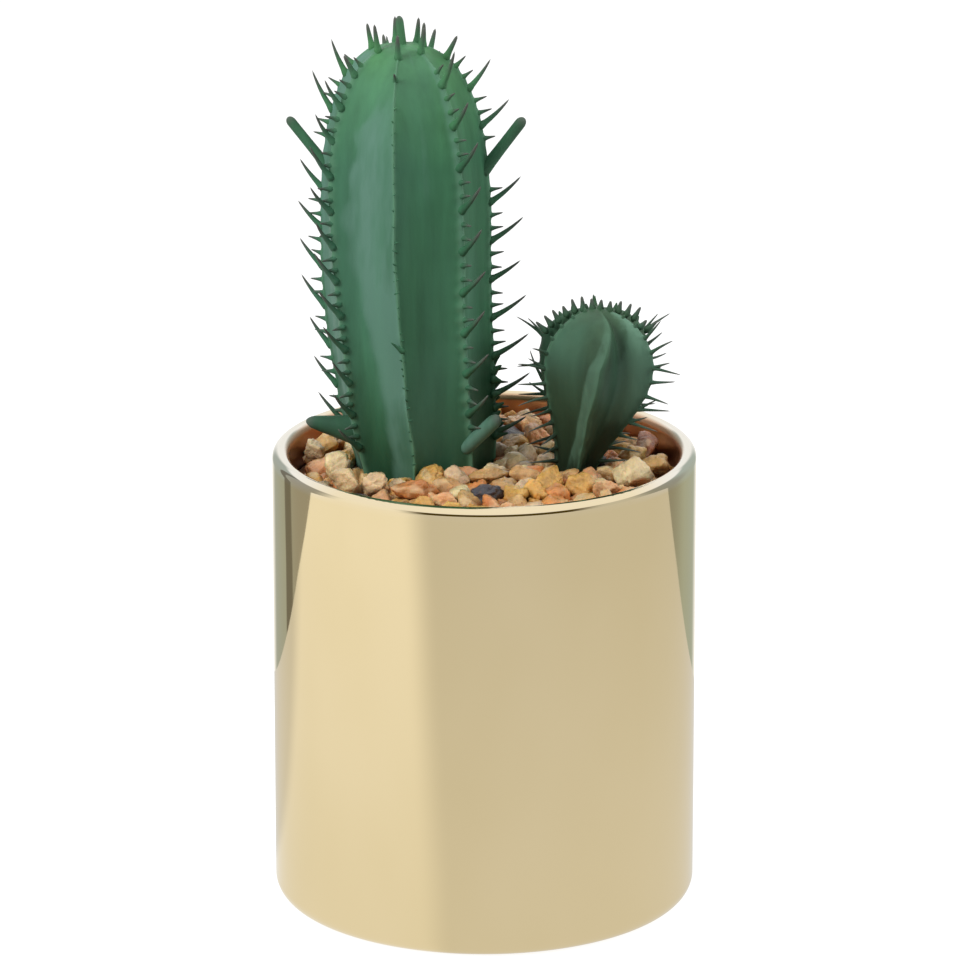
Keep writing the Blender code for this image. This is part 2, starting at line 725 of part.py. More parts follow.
def spine_mesh(root, direction, spine, roll):
    """A spine is a slim cone, bent up a little; a peg is a rod with a rounded end."""
    mesh = bmesh.new()
    length = spine.length + spine.sink
    base = spine.radius * spine.root
    tip = spine.radius * 0.95 if spine.blunt else 0.0
    bmesh.ops.create_cone(
        mesh, cap_ends=True, segments=spine.sides, radius1=base, radius2=tip, depth=length
    )
    if spine.blunt:
        rim = [edge for edge in mesh.edges if all(vert.co.z > 0 for vert in edge.verts)]
        bmesh.ops.bevel(mesh, geom=rim, offset=tip * 0.7, segments=2, profile=0.5, affect="EDGES")
    if spine.curl:
        geometry = mesh.verts[:] + mesh.edges[:] + mesh.faces[:]
        bmesh.ops.bisect_plane(mesh, geom=geometry, plane_co=(0, 0, 0), plane_no=(0, 0, 1))
    turn = direction.to_track_quat("Z", "Y")
    side = direction.cross(Vector((0.0, 0.0, 1.0)))
    up = side.cross(direction).normalized()
    for vert in mesh.verts:
        share = vert.co.z / length + 0.5
        x = vert.co.x * math.cos(roll) - vert.co.y * math.sin(roll)
        y = vert.co.x * math.sin(roll) + vert.co.y * math.cos(roll)
        place = Vector((x, y, share * length))
        place.rotate(turn)
        vert.co = root + place + up * (spine.curl * length * share * share)
    bmesh.ops.triangulate(mesh, faces=mesh.faces)
    data = bpy.data.meshes.new("spine")
    mesh.to_mesh(data)
    mesh.free()
    return data


def make_stem(stem, spines, colour, pile, taken, collection):
    """A stem with all its spines fused to it. Returns the points that its spines take."""
    body = new_object(stem.name, stem_mesh(stem, 0.0, False), collection)
    pieces = new_collection("spines")
    points = []
    for number, spine in enumerate(spines):
        place = placed(stem, spine, pile, taken)
        if place is None:
            continue
        root, direction, along = place
        new_object(f"spine_{number}", spine_mesh(root, direction, spine, number * ROLL_STEP), pieces)
        points += along
    fuse(body, pieces)
    keep_largest_shell(body)
    body.data.materials.clear()
    body.data.materials.append(material(stem.name, colour, 0.35, 0.0))
    shade(body, 30)
    return points


for old in list(bpy.data.objects):
    bpy.data.objects.remove(old)

PARTS = new_collection("potted_cereus_cactus")
CUTTERS = new_collection("cutters")

make_pot(PARTS)
make_soil(PARTS)
PILE = pile_stones()
make_gravel(PARTS, PILE)
TAKEN = make_stem(TALL, tall_spines(), (0.065, 0.19, 0.10), PILE, [], PARTS)
make_stem(SMALL, small_spines(), (0.045, 0.13, 0.07), PILE, TAKEN, PARTS)
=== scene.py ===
"""Potted cereus cactus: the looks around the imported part.

Metres, +Z up, in the part's own frame. The front faces -Y. An azimuth is in degrees round a
stem: 0 is the front, and 90 is +X.
"""

import math
from dataclasses import dataclass

import bmesh
import bpy
import numpy as np
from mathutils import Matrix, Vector


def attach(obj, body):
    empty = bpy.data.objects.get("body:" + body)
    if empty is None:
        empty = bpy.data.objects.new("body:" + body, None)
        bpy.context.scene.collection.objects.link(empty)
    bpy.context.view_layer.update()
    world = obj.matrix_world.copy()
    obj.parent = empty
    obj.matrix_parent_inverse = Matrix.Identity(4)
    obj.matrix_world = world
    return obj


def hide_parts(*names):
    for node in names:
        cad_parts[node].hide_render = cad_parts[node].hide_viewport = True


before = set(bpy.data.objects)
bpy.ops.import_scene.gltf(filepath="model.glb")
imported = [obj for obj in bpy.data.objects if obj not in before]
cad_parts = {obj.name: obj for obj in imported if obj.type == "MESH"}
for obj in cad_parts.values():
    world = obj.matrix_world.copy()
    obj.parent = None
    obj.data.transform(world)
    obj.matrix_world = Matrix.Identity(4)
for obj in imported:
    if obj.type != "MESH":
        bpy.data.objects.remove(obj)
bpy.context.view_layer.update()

# Pot
POT_RADIUS = 0.0375
POT_HEIGHT = 0.0824
POT_WALL = 0.003
POT_FLOOR = 0.005
POT_CORNER = 0.0033
POT_INNER_CORNER = 0.003
POT_INNER_RADIUS = POT_RADIUS - POT_WALL
FOOT_RING_WIDTH = 0.005
FOOT_RECESS = 0.001
POT_SEGMENTS = 224

# Gravel
GAP = 0.0003
BED_TOP = 0.0792
BED_FALL_X = 2.2
BED_FALL_Y = 0.018
BED_BOTTOM = 0.0738
BED_DROP = 0.0009
BED_SEGMENTS = 96
STONE_SINK = 0.0012
STONE_RISE = 0.0023
STONE_PACKING = 0.80
STONE_COUNT = 210
STONE_SPOTS = 80
STONE_LENGTH = (0.0025, 0.0034)
INFILL_COUNT = 260
INFILL_LENGTH = (0.0013, 0.0023)
INFILL_RISE = 0.0018
STONE_WIDTH = (0.72, 0.95)
STONE_DEPTH = (0.62, 0.85)
STONE_SHOWS = 0.08
STONE_PLANES = 11
STONE_EDGE = 28.0
GRAVEL_SEED = 11
GRID_STEP = 0.0004

# Painted shade: stones are darker and redder low down, in the gaps between them
PAINTED_SHADE_TONE = (0.62, 0.36, 0.22)
PAINTED_SHADE_HEIGHT = 0.0024

# Stone colours, linear, and how common each is among the small stones
STONE_COLOURS = {
    "tan": ((0.53, 0.32, 0.130), 0.28),
    "ochre": ((0.53, 0.31, 0.080), 0.20),
    "orange": ((0.60, 0.24, 0.075), 0.14),
    "red": ((0.40, 0.13, 0.05), 0.03),
    "peach": ((0.62, 0.33, 0.155), 0.14),
    "cream": ((0.68, 0.51, 0.29), 0.16),
    "grey": ((0.33, 0.25, 0.16), 0.03),
    "slate": ((0.055, 0.055, 0.065), 0.02),
}

# The larger stones that stand out, in millimetres: x, y, z, half length, width, depth, yaw; colour
LARGE_STONES = (
    (-23.5, -15.6, 80.2, 3.1, 2.4, 2.3, 0.0, "cream"),
    (-19.4, -17.0, 80.2, 3.1, 2.3, 2.2, -0.5, "cream"),
    (-15.2, -15.5, 79.6, 2.3, 1.8, 1.4, 0.0, "cream"),
    (-11.5, -20.9, 80.8, 3.8, 2.6, 2.2, 0.1, "orange"),
    (-9.5, -12.6, 80.2, 2.8, 2.5, 2.2, 0.0, "ochre"),
    (-4.6, -12.5, 80.2, 2.3, 2.4, 2.3, 0.5, "cream"),
    (-4.1, -22.5, 80.2, 2.1, 1.9, 1.7, 0.4, "cream"),
    (1.3, -11.5, 80.4, 3.9, 2.3, 2.1, 0.5, "tan"),
    (0.5, -21.8, 80.2, 2.8, 2.1, 2.1, 0.6, "slate"),
    (-6.5, -27.0, 80.6, 2.6, 2.0, 1.5, -0.2, "peach"),
    (5.2, -21.5, 80.2, 2.3, 2.3, 2.2, 0.0, "ochre"),
    (9.4, -21.5, 80.2, 2.2, 2.2, 2.2, 0.8, "ochre"),
    (7.3, -10.5, 80.4, 2.6, 2.0, 1.8, 0.2, "tan"),
    (11.7, -15.0, 80.2, 3.0, 2.6, 2.5, 0.1, "ochre"),
    (16.8, -17.0, 80.2, 2.7, 2.6, 2.6, 0.4, "ochre"),
    (21.6, -18.5, 80.3, 2.6, 1.9, 1.7, 0.5, "peach"),
    (25.9, -9.6, 80.0, 3.7, 2.9, 2.9, 1.0, "cream"),
    (30.6, -1.5, 79.6, 2.4, 2.4, 2.8, 0.0, "tan"),
    (26.4, 5.5, 79.6, 2.4, 2.3, 2.0, 0.0, "tan"),
    (28.6, 10.5, 79.4, 2.8, 2.2, 1.7, -1.2, "red"),
    (-30.4, 7.2, 80.0, 2.2, 2.1, 2.1, 0.0, "cream"),
    (-27.8, 12.5, 79.6, 2.4, 2.2, 2.1, 1.1, "tan"),
    (-26.1, -4.0, 79.8, 2.6, 2.5, 2.5, 0.0, "cream"),
    (5.5, 22.0, 80.0, 2.2, 2.2, 2.0, 0.0, "peach"),
    (9.6, 14.0, 79.8, 2.4, 2.2, 2.0, 0.6, "peach"),
    (13.6, 18.0, 79.8, 2.0, 2.0, 2.0, 0.0, "tan"),
)

# Spines
SPINE_SINK = 0.0008
CROWN_CLEAR = 0.0034
SPINE_CLEARANCE = 0.0005
SPINE_SEED = 5
SPINE_SIDES = 8
SPINE_RINGS = 12
PEG_SIDES = 16

# The peg's rings, as shares of its length
PEG_SHARES = (0.0, 0.04, 0.1, 0.25, 0.4, 0.55, 0.7, 0.8, 0.87, 0.92, 0.955, 0.98, 0.995)

# Stem surfaces: nubs are where the crest rises under a spine
COLUMN_CROWDING = 1.7
RIB_START = 0.003
NUB_LENGTH = 0.0007
NUB_RISE = 0.00022
FLANK_SWELL = 0.00016

# Stem colours, linear. low and high are the heights between which they change.
# light is painted light on the dome, dark is painted shade at the foot, the bluish tone is the
# painted sheen's colour, and the crests lighten with wear and painted sheen.
TALL_GREEN = {
    "base": (0.046, 0.160, 0.082),
    "light": (0.078, 0.240, 0.094),
    "dark": (0.019, 0.070, 0.034),
    "painted_sheen_tone": (0.124, 0.262, 0.200),
    "low": 0.079,
    "high": 0.157,
    "middle": 0.30,
    "wear_and_sheen_most": 0.75,
    "torn_least": 0.34,
}
SMALL_GREEN = {
    "base": (0.031, 0.067, 0.037),
    "light": (0.052, 0.112, 0.060),
    "dark": (0.006, 0.015, 0.007),
    "painted_sheen_tone": (0.138, 0.275, 0.190),
    "low": 0.079,
    "high": 0.108,
    "middle": 0.48,
    "wear_and_sheen_most": 0.25,
    "torn_least": 0.55,
}

# Studio
WHITE = (1.0, 1.0, 1.0)
CAMERA_PLACE = (0.00012, -1.125, 0.420)
CAMERA_TILT = 17.03
CAMERA_LENS = 246.64
LAMP_TARGET = (0, 0, 0.09)
LAMPS = (
    ("key", (-0.72, -0.62, 0.72), 0.5, 9.0, (1.0, 0.99, 0.97)),
    ("top", (0.0, -0.1, 1.2), 1.6, 6.0, WHITE),
    ("right", (0.9, 0.05, 0.45), 0.5, 4.5, WHITE),
)
FLOOR_REACH = 30.0

# The table. Its edges are the distance and slope of the back edge, left and right of the pot.
TABLE_FAN = 86.0
TABLE_COLUMNS = 173
TABLE_ROWS = 40
TABLE_REACH = 3.0
TABLE_EDGES = ((0.134, 0.205), (0.118, 0.0))
TABLE_HEIGHT = -0.001
TABLE_CROWDING = 2.4

# Its painted glow at the pot and the change out to GLOW_FAR. The bright part, a painted pool of
# window light, lies left of a curve that starts in front of the pot, and ends between two bearings
# at the back.
GLOW_PLAIN = (0.745, -0.08)
GLOW_BRIGHT = (0.88, 0.11)
GLOW_FAR = 0.25
GLOW_START = (-0.00875, 0.0365)
GLOW_SLOPE = 0.471
GLOW_BEND = 0.522
GLOW_ROUND = 0.15
GLOW_BLUR = (0.0033, 0.21)
GLOW_END = (-121.0, -108.0)


def outward(angle, rise=0.0):
    """The direction of an azimuth in radians, with a rise if one is given."""
    return Vector((math.sin(angle), -math.cos(angle), rise))


@dataclass
class Stem:
    """A ribbed stem. It leans from its foot to its head, and its foot stands in a hole."""

    name: str
    foot: tuple
    head: tuple
    stub_height: float
    foot_height: float
    lean_from: float
    lean_to: float
    widest_height: float
    apex_height: float
    foot_radius: float
    crest_radius: float
    flare: float
    dome: float
    ribs: int
    first_rib: float
    rib_depth: float
    rib_shape: float
    bands: tuple
    drifts: dict
    left_valley: float
    # Painted sheen: heights, widths and strengths; its soft edge; its share on the far left; its
    # bands on the right
    painted_sheen: tuple
    haze_soft: float
    far_haze: float
    right_haze: tuple
    columns: int
    rows: int
    seed: int

    def centre(self, height):
        """The centre of the section at a height."""
        share = (height - self.lean_from) / (self.lean_to - self.lean_from)
        lean = math.sin(math.pi / 2 * min(max(share, 0.0), 1.0))
        x = self.foot[0] + (self.head[0] - self.foot[0]) * lean
        y = self.foot[1] + (self.head[1] - self.foot[1]) * lean
        return Vector((x, y, height))

    def radius(self, height):
        """The radius at the rib crests."""
        if height >= self.widest_height:
            share = (height - self.widest_height) / (self.apex_height - self.widest_height)
            return self.crest_radius * max(1.0 - share ** self.dome, 0.0) ** (1.0 / self.dome)
        share = (height - self.foot_height) / (self.widest_height - self.foot_height)
        rise = math.sin(math.pi / 2 * max(share, 0.0)) ** self.flare
        return self.foot_radius + (self.crest_radius - self.foot_radius) * rise

    def rib_azimuth(self, rib):
        """The azimuth of a rib's crest."""
        return self.first_rib + rib * 360.0 / self.ribs

    def drift(self, rib, height):
        """How far a rib's crest wanders from its azimuth at a height."""
        if rib not in self.drifts:
            return 0.0
        return float(np.interp(height, *zip(*self.drifts[rib])))

    def crest_azimuth(self, rib, height):
        """The azimuth of a rib's crest at a height."""
        return self.rib_azimuth(rib) + self.drift(rib, height)

    def point(self, azimuth, height):
        """A point on a crest."""
        return self.centre(height) + outward(math.radians(azimuth)) * self.radius(height)

    def crest_normal(self, azimuth, height):
        """The direction in which a rib's crest faces, seen along the rib."""
        step = 0.0004
        above = min(height + step, self.apex_height)
        fall = self.radius(height - step) - self.radius(above)
        rise = fall / (above - height + step)
        return outward(math.radians(azimuth), rise).normalized()

    def heights_down_rib(self, anchor, pitch, lowest):
        """Heights a pitch apart along a crest, with one of them at the anchor height."""
        heights = np.linspace(self.apex_height, lowest, 600)
        radii = np.array([self.radius(height) for height in heights])
        steps = np.hypot(np.diff(heights), np.diff(radii))
        run = np.concatenate(([0.0], np.cumsum(steps)))
        anchor_run = float(np.interp(-anchor, -heights, run))
        runs = np.arange(anchor_run % pitch, run[-1], pitch)
        return [float(height) for height in np.interp(runs, run, heights)]


TALL = Stem(
    name="tall_cactus",
    foot=(-0.0110, 0.003),
    head=(-0.0143, 0.003),
    stub_height=0.056,
    foot_height=0.0735,
    lean_from=0.079,
    lean_to=0.118,
    widest_height=0.120,
    apex_height=0.1548,
    foot_radius=0.0095,
    crest_radius=0.0153,
    flare=0.33,
    dome=2.5,
    ribs=7,
    first_rib=-8.0,
    rib_depth=0.15,
    rib_shape=1.0,
    bands=((1.0, 0.00033), (2.3, 0.00033), *((2.0, 0.00033),) * 4, (2.3, 0.00033)),
    drifts={
        0: ((0.079, 3.0), (0.083, 4.3), (0.092, 5.6), (0.106, 5.5), (0.120, 3.6), (0.146, 1.7)),
        6: ((0.079, 10.0), (0.092, 11.0), (0.097, 14.0), (0.106, 14.0), (0.120, 8.0), (0.138, 0.0)),
    },
    left_valley=1.0,
    painted_sheen=((0.080, 0.0048, 0.55), (0.090, 0.0046, 0.75), (0.100, 0.0056, 0.75), (0.112, 0.0085, 0.8),
          (0.125, 0.0108, 0.9), (0.140, 0.0088, 0.9), (0.148, 0.0040, 0.3), (0.152, 0.0010, 0.0)),
    haze_soft=6.0,
    far_haze=0.95,
    right_haze=((24.0, 3.0, 0.30, 0.128), (47.0, 2.6, 0.45, 0.080)),
    columns=30,
    rows=210,
    seed=21,
)

SMALL = Stem(
    name="small_cactus",
    foot=(0.0159, -0.0012),
    head=(0.0197, 0.0),
    stub_height=0.062,
    foot_height=0.077,
    lean_from=0.079,
    lean_to=0.098,
    widest_height=0.0985,
    apex_height=0.1079,
    foot_radius=0.0038,
    crest_radius=0.0109,
    flare=1.9,
    dome=2.0,
    ribs=6,
    first_rib=4.0,
    rib_depth=0.34,
    rib_shape=1.7,
    bands=((4.0, 0.00030), *((2.0, 0.0001),) * 5),
    drifts={
        0: ((0.079, 3.0), (0.083, -5.0), (0.090, -9.0), (0.0995, -1.0), (0.1065, 16.0)),
    },
    left_valley=0.35,
    painted_sheen=((0.080, 0.0021, 0.25), (0.088, 0.0022, 0.52), (0.100, 0.0024, 0.75),
          (0.107, 0.0010, 0.3)),
    haze_soft=2.5,
    far_haze=0.15,
    right_haze=((47.0, 17.0, 0.98, 0.089),),
    columns=26,
    rows=130,
    seed=22,
)


@dataclass
class Spine:
    """A spine or peg: where it grows, which way it points, and its size."""

    azimuth: float
    height: float
    length: float
    radius: float
    lift: float
    curl: float = 0.0
    kind: str = "spine"
    turn: float = 0.0
    root: float = 1.0
    sink: float = SPINE_SINK


# Spines of the tall stem. Each rib has one at its anchor height, and the others a pitch apart.
TALL_ANCHORS = (0.1275, 0.1277, 0.1259, 0.1240, 0.1295, 0.1276, 0.1268)
TALL_LONG_PITCH = (0.0072, 0.0074, 0.0070, 0.0072, 0.0072, 0.0072, 0.0061)
TALL_LONG = 0.0070
TALL_LONG_RADII = (0.0007, 0.0008, *(0.0007,) * 5)
TALL_LIFTS = (0.80, 0.66, 0.48, 0.75, 0.80, 0.80, 0.80)
TALL_CROWN = 0.0045
TALL_CROWN_RADIUS = 0.00066
TALL_CROWN_FROM = 0.1500
TALL_SHORT = 0.0026
TALL_SHORT_RADIUS = 0.00055
TALL_SHORT_TOP = 0.152
TALL_LOWEST = 0.0835
TALL_FRONT_BARE = 0.1495

# Its pegs: azimuth, height, length, radius, lift, turn, flare of the root, sink
TALL_PEGS = (
    (-110.9, 0.1322, 0.0102, 0.00085, 1.00, 0.0, 1.3, 0.0020),
    (94.9, 0.1325, 0.0108, 0.0010, 1.20, 0.0, 1.3, 0.0020),
    (43.4, 0.0852, 0.0078, 0.00128, 1.12, 22.0, 1.0, 0.0022),
    (-76.0, 0.0862, 0.0063, 0.0009, 0.34, -6.0, 3.2, 0.0038),
    (-90.0, 0.1548, 0.0050, 0.00072, 0.0, 0.0, 1.4, 0.0030),
)
PEG_CLEAR = 0.003

# Its clump low on the right, and the teeth of its front crest
TALL_CLUMP = (0.0835, 0.0965)
CLUMP_RIB = 2
CLUMP_SPINES = 11
CLUMP_RADIUS = 0.0009
TEETH = (0.0800, 0.1440)
TOOTH_RADIUS = 0.00022
LARGE_TOOTH = (0.1035, 0.0028, 0.0005, 0.9)

# Spines of the small stem
SMALL_PITCH = 0.0027
SMALL_LONG = 0.0055
SMALL_LONG_RADIUS = 0.00042
SMALL_TWIN_FROM = 1.04
SMALL_TWIN_RADIUS = 0.0004
SMALL_TOOTH_RADIUS = 0.0005
SMALL_CROWN = 0.0022
SMALL_CROWN_RADIUS = 0.00057
SMALL_CROWN_FROM = 0.1035
SMALL_CROWN_PITCH = 0.0016
SMALL_LOWEST = 0.0800
SMALL_ANCHORS = (0.1000, 0.1010, 0.0995, 0.1005, 0.0990, 0.1012)


# Finishes


class Tree:
    """The nodes of a material or a world. A value is a number, a colour, a vector or an output."""

    def __init__(self, owner):
        self.owner = owner
        owner.use_nodes = True
        self.nodes = owner.node_tree.nodes

    def put(self, socket, value):
        """Set an input, or join an output to it."""
        if isinstance(value, bpy.types.NodeSocket):
            self.owner.node_tree.links.new(value, socket)
        elif socket.type == "RGBA":
            socket.default_value = (*value, 1.0)
        else:
            socket.default_value = value

    def add(self, kind, output, inputs, **settings):
        """Add a node with its inputs and settings. Returns one of its outputs."""
        made = self.nodes.new("ShaderNode" + kind)
        for key, value in settings.items():
            setattr(made, key, value)
        for key, value in inputs.items():
            self.put(made.inputs[key], value)
        return made.outputs[output]

    def place(self, axis=None, system="Object"):
        """The place on the object, or one coordinate of it."""
        place = self.add("TexCoord", system, {})
        return self.add("SeparateXYZ", axis, {"Vector": place}) if axis else place

    def attribute(self, name, output="Fac"):
        """A value that is stored on the mesh's points."""
        return self.add("Attribute", output, {}, attribute_name=name)

    def noise(self, scale, stretch=(1.0, 1.0, 1.0), detail=3.0, roughness=0.5):
        """Noise on the object's own coordinates."""
        mapped = self.add("Mapping", 0, {"Vector": self.place(), "Scale": stretch})
        sizes = {"Vector": mapped, "Scale": scale, "Detail": detail, "Roughness": roughness}
        return self.add("TexNoise", "Fac", sizes)

    def ramp(self, value, *stops):
        """A colour ramp on a value. Each stop is a place and a colour or a grey."""
        output = self.add("ValToRGB", "Color", {"Fac": value})
        elements = output.node.color_ramp.elements
        for number, (place, colour) in enumerate(stops):
            element = elements[number] if number < 2 else elements.new(place)
            element.position = place
            element.color = (*((colour,) * 3 if isinstance(colour, float) else colour), 1.0)
        return output

    def mix(self, factor, first, second, kind="MIX"):
        """A mix of two colours."""
        inputs = {0: factor, 6: first, 7: second}
        return self.add("Mix", 2, inputs, data_type="RGBA", blend_type=kind)

    def step(self, value, low, high, kind="SMOOTHSTEP"):
        """A step on a value, from 0 at the low end to 1 at the high end."""
        inputs = {"Value": value, "From Min": low, "From Max": high}
        return self.add("MapRange", "Result", inputs, interpolation_type=kind)

    def math(self, operation, *values):
        """A calculation on numbers."""
        return self.add("Math", 0, dict(enumerate(values)), operation=operation)

    def bump(self, height, distance, strength, onto=None):
        """A bump, on top of another one if it is given."""
        inputs = {"Height": height, "Distance": distance, "Strength": strength}
        if onto:
            inputs["Normal"] = onto
        return self.add("Bump", "Normal", inputs)


class Finish(Tree):
    """A Principled material."""

    def __init__(self, name, colour, roughness, metallic=0.0):
        super().__init__(bpy.data.materials.new(name))
        self.look({"Base Color": colour, "Roughness": roughness, "Metallic": metallic})

    def look(self, inputs):
        """Set or join inputs of the shader."""
        for key, value in inputs.items():
            self.put(self.nodes["Principled BSDF"].inputs[key], value)


def glaze_finish():
    """Mirror-bright champagne gold glaze, paler at the lip with a painted reflection at its sides,
    and browner inside the pot with painted shade.
    """
    finish = Finish("gold_glaze", (0.85, 0.71, 0.44), 0.07, 1.0)
    cloud = finish.noise(40.0, (1.0, 1.0, 0.5), 2.0)
    tone = finish.ramp(cloud, (0.3, (0.83, 0.69, 0.415)), (0.7, (0.87, 0.73, 0.46)))
    # Painted reflection: the lip is whiter towards the left and right sides
    aside = finish.step(finish.math("ABSOLUTE", finish.place("X")), 0.024, 0.035)
    lip_tone_and_painted_reflection = finish.mix(aside, (0.86, 0.73, 0.49), (0.88, 0.84, 0.76))
    lip = finish.step(finish.place("Z"), POT_HEIGHT - 0.0024, POT_HEIGHT - 0.0004, "LINEAR")
    wear = finish.noise(160.0, (1.0, 1.0, 0.4), 4.0)
    level = {0: finish.place(), 1: (1.0, 1.0, 0.0)}
    level = finish.add("VectorMath", 0, level, operation="MULTIPLY")
    reach = finish.add("VectorMath", "Value", {0: level}, operation="LENGTH")
    # Painted shade: the inside of the pot is browner; it is rougher too
    clear_of_painted_shade = finish.step(reach, POT_INNER_RADIUS + 0.0002, POT_INNER_RADIUS + 0.0010)
    rough = finish.ramp(wear, (0.35, 0.03), (0.75, 0.07))
    finish.look({
        "Base Color": finish.mix(clear_of_painted_shade, (0.58, 0.34, 0.21), finish.mix(lip, tone, lip_tone_and_painted_reflection)),
        "Roughness": finish.mix(clear_of_painted_shade, (0.30, 0.30, 0.30), rough),
        "Normal": finish.bump(finish.noise(55.0, (1.0, 1.0, 0.35), 2.0), 0.00012, 0.18),
    })
    return finish.owner


def stem_finish(name, base, light, dark, painted_sheen_tone, low, high, middle, wear_and_sheen_most, torn_least):
    """Satin moulded plastic, streaked green, with painted light on the dome and painted shade at
    the foot.
    """
    finish = Finish(name, base, 0.5)
    # Painted light and shade: darker towards the foot and lighter towards the dome
    rise = finish.step(finish.place("Z"), low, high, "LINEAR")
    tone = finish.ramp(rise, (0.0, dark), (middle, base), (0.72, base), (1.0, light))
    streaks = finish.noise(240.0, (1.0, 1.0, 0.10), 4.0, 0.6)
    shade = finish.ramp(streaks, (0.3, 0.72), (0.7, 1.22))
    colour = finish.mix(1.0, tone, shade, "MULTIPLY")
    patches = finish.noise(70.0, (1.0, 1.0, 0.30), 3.0)
    bloom = finish.ramp(patches, (0.46, 0.0), (0.66, 0.34))
    colour = finish.mix(bloom, colour, (0.095, 0.250, 0.175))
    # Wear and painted sheen: the crests are lighter and bluer
    wear_and_sheen = finish.ramp(finish.attribute("crest"), (0.0, 0.0), (1.0, wear_and_sheen_most))
    colour = finish.mix(wear_and_sheen, colour, (0.125, 0.285, 0.175))

    # The painted sheen is torn into streaks, and its edge is ragged
    broken = finish.noise(110.0, (1.0, 1.0, 0.22), 4.0, 0.65)
    torn = finish.ramp(broken, (0.40, torn_least), (0.55, 1.0))
    rag = finish.noise(210.0, (1.0, 1.0, 0.30), 5.0, 0.68)
    ragged = finish.math("MULTIPLY_ADD", rag, 2.0, finish.attribute("painted_sheen"))
    edge = finish.step(ragged, 1.05, 1.55)
    painted_sheen = finish.mix(1.0, finish.attribute("painted_sheen", "Color"), edge, "MULTIPLY")
    painted_sheen = finish.mix(1.0, painted_sheen, torn, "MULTIPLY")
    colour = finish.mix(painted_sheen, colour, painted_sheen_tone)

    tip = finish.attribute("tip")
    tip_tone = finish.ramp(tip, (0.5, (0.062, 0.105, 0.076)), (1.0, (0.115, 0.118, 0.105)))
    greyed = finish.ramp(tip, (0.35, 0.0), (0.80, 1.0))
    grain = finish.bump(finish.noise(1500.0, (1.0, 1.0, 0.5), 3.0), 0.00004, 0.4)
    finish.look({
        "Base Color": finish.mix(greyed, colour, tip_tone),
        "Roughness": finish.ramp(patches, (0.3, 0.58), (0.7, 0.44)),
        "Specular IOR Level": 0.32,
        "Normal": finish.bump(streaks, 0.00018, 0.5, grain),
    })
    return finish.owner


def stone_finish(name, colour):
    """Glossy stone: each stone's own tint with painted shade low down, mottled, with darker grains
    and paler veins.
    """
    finish = Finish("gravel_" + name, colour, 0.3)
    mottle = finish.noise(420.0, detail=5.0, roughness=0.6)
    shade = finish.ramp(mottle, (0.30, 0.66), (0.50, 1.0), (0.72, 1.30))
    colour = finish.mix(1.0, finish.attribute("tint", "Color"), shade, "MULTIPLY")
    veins = finish.noise(230.0, (1.0, 1.0, 1.8), 2.0)
    colour = finish.mix(finish.ramp(veins, (0.56, 0.0), (0.66, 0.45)), colour, (0.80, 0.62, 0.36))
    grains = finish.noise(1300.0, detail=2.0)
    colour = finish.mix(finish.ramp(grains, (0.64, 0.0), (0.74, 0.35)), colour, (0.24, 0.12, 0.05))
    finish.look({
        "Base Color": colour,
        "Roughness": finish.ramp(mottle, (0.3, 0.24), (0.7, 0.42)),
        "Coat Weight": 0.35,
        "Coat Roughness": 0.12,
        "Subsurface Weight": 0.25,
        "Subsurface Radius": (1.0, 0.42, 0.18),
        "Subsurface Scale": 0.002,
        "Normal": finish.bump(mottle, 0.0008, 0.9, finish.bump(grains, 0.00022, 0.8)),
    })
    return finish.owner


def grit_finish(name, colour, roughness, noise, dark, light, depth):
    """A rough grainy material between two tones."""
    finish = Finish(name, colour, roughness)
    grit = finish.noise(noise[0], detail=noise[1])
    tone = finish.ramp(grit, (0.35, dark), (0.7, light))
    finish.look({"Base Color": tone, "Normal": finish.bump(grit, depth, 0.8)})
    return finish.owner


# Meshes


def added(name, data):
    """A new object in the scene."""
    made = bpy.data.objects.new(name, data)
    bpy.context.scene.collection.objects.link(made)
    return made


def piece_from(name, points, faces, finish, floats=None, tints=None):
    """A smooth-shaded object from points and faces, with attributes on its points."""
    mesh = bpy.data.meshes.new(name)
    mesh.from_pydata([tuple(point) for point in points], [], faces)
    for key, values in (floats or {}).items():
        layer = mesh.attributes.new(key, "FLOAT", "POINT")
        layer.data.foreach_set("value", np.asarray(values, dtype=np.float32))
    if tints is not None:
        layer = mesh.attributes.new("tint", "FLOAT_COLOR", "POINT")
        layer.data.foreach_set("color", np.asarray(tints, dtype=np.float32).ravel())
    mesh.materials.append(finish)
    mesh.shade_smooth()
    mesh.update()
    return added(name, mesh)


def smooth(value, low, high):
    """A smooth step from 0 at the low end to 1 at the high end."""
    share = min(max((value - low) / (high - low), 0.0), 1.0)
    return share * share * (3.0 - 2.0 * share)


def arc(centre, radius, start, end, steps):
    """Points on an arc from a start angle to an end angle, in degrees."""
    angles = [math.radians(start + (end - start) * i / steps) for i in range(steps + 1)]
    return [(centre[0] + radius * math.cos(a), centre[1] + radius * math.sin(a)) for a in angles]


def ring_faces(rings, sides):
    """The faces between closed rings of points that follow one another."""
    faces = []
    for low in range(0, (rings - 1) * sides, sides):
        for i in range(sides):
            j = (i + 1) % sides
            faces.append((low + i, low + j, low + sides + j, low + sides + i))
    return faces


def cap_faces(first, sides, tip):
    """The faces between a closed ring and a point past it."""
    return [(first + i, first + (i + 1) % sides, tip) for i in range(sides)]


def turned(profile, segments):
    """Points and faces of a solid turned from a profile that starts and ends on the axis."""
    points = []
    for reach, height in profile[1:-1]:
        for i in range(segments):
            angle = math.tau * i / segments
            points.append((reach * math.cos(angle), reach * math.sin(angle), height))
    count = len(points)
    points += [(0.0, 0.0, profile[0][1]), (0.0, 0.0, profile[-1][1])]

    # The corner that a face starts at decides the diagonal that cuts it in two
    faces = [face[1:] + face[:1] for face in ring_faces(len(profile) - 2, segments)]
    faces += [face[::-1] for face in cap_faces(0, segments, count)]
    faces += cap_faces(count - segments, segments, count + 1)
    return points, faces


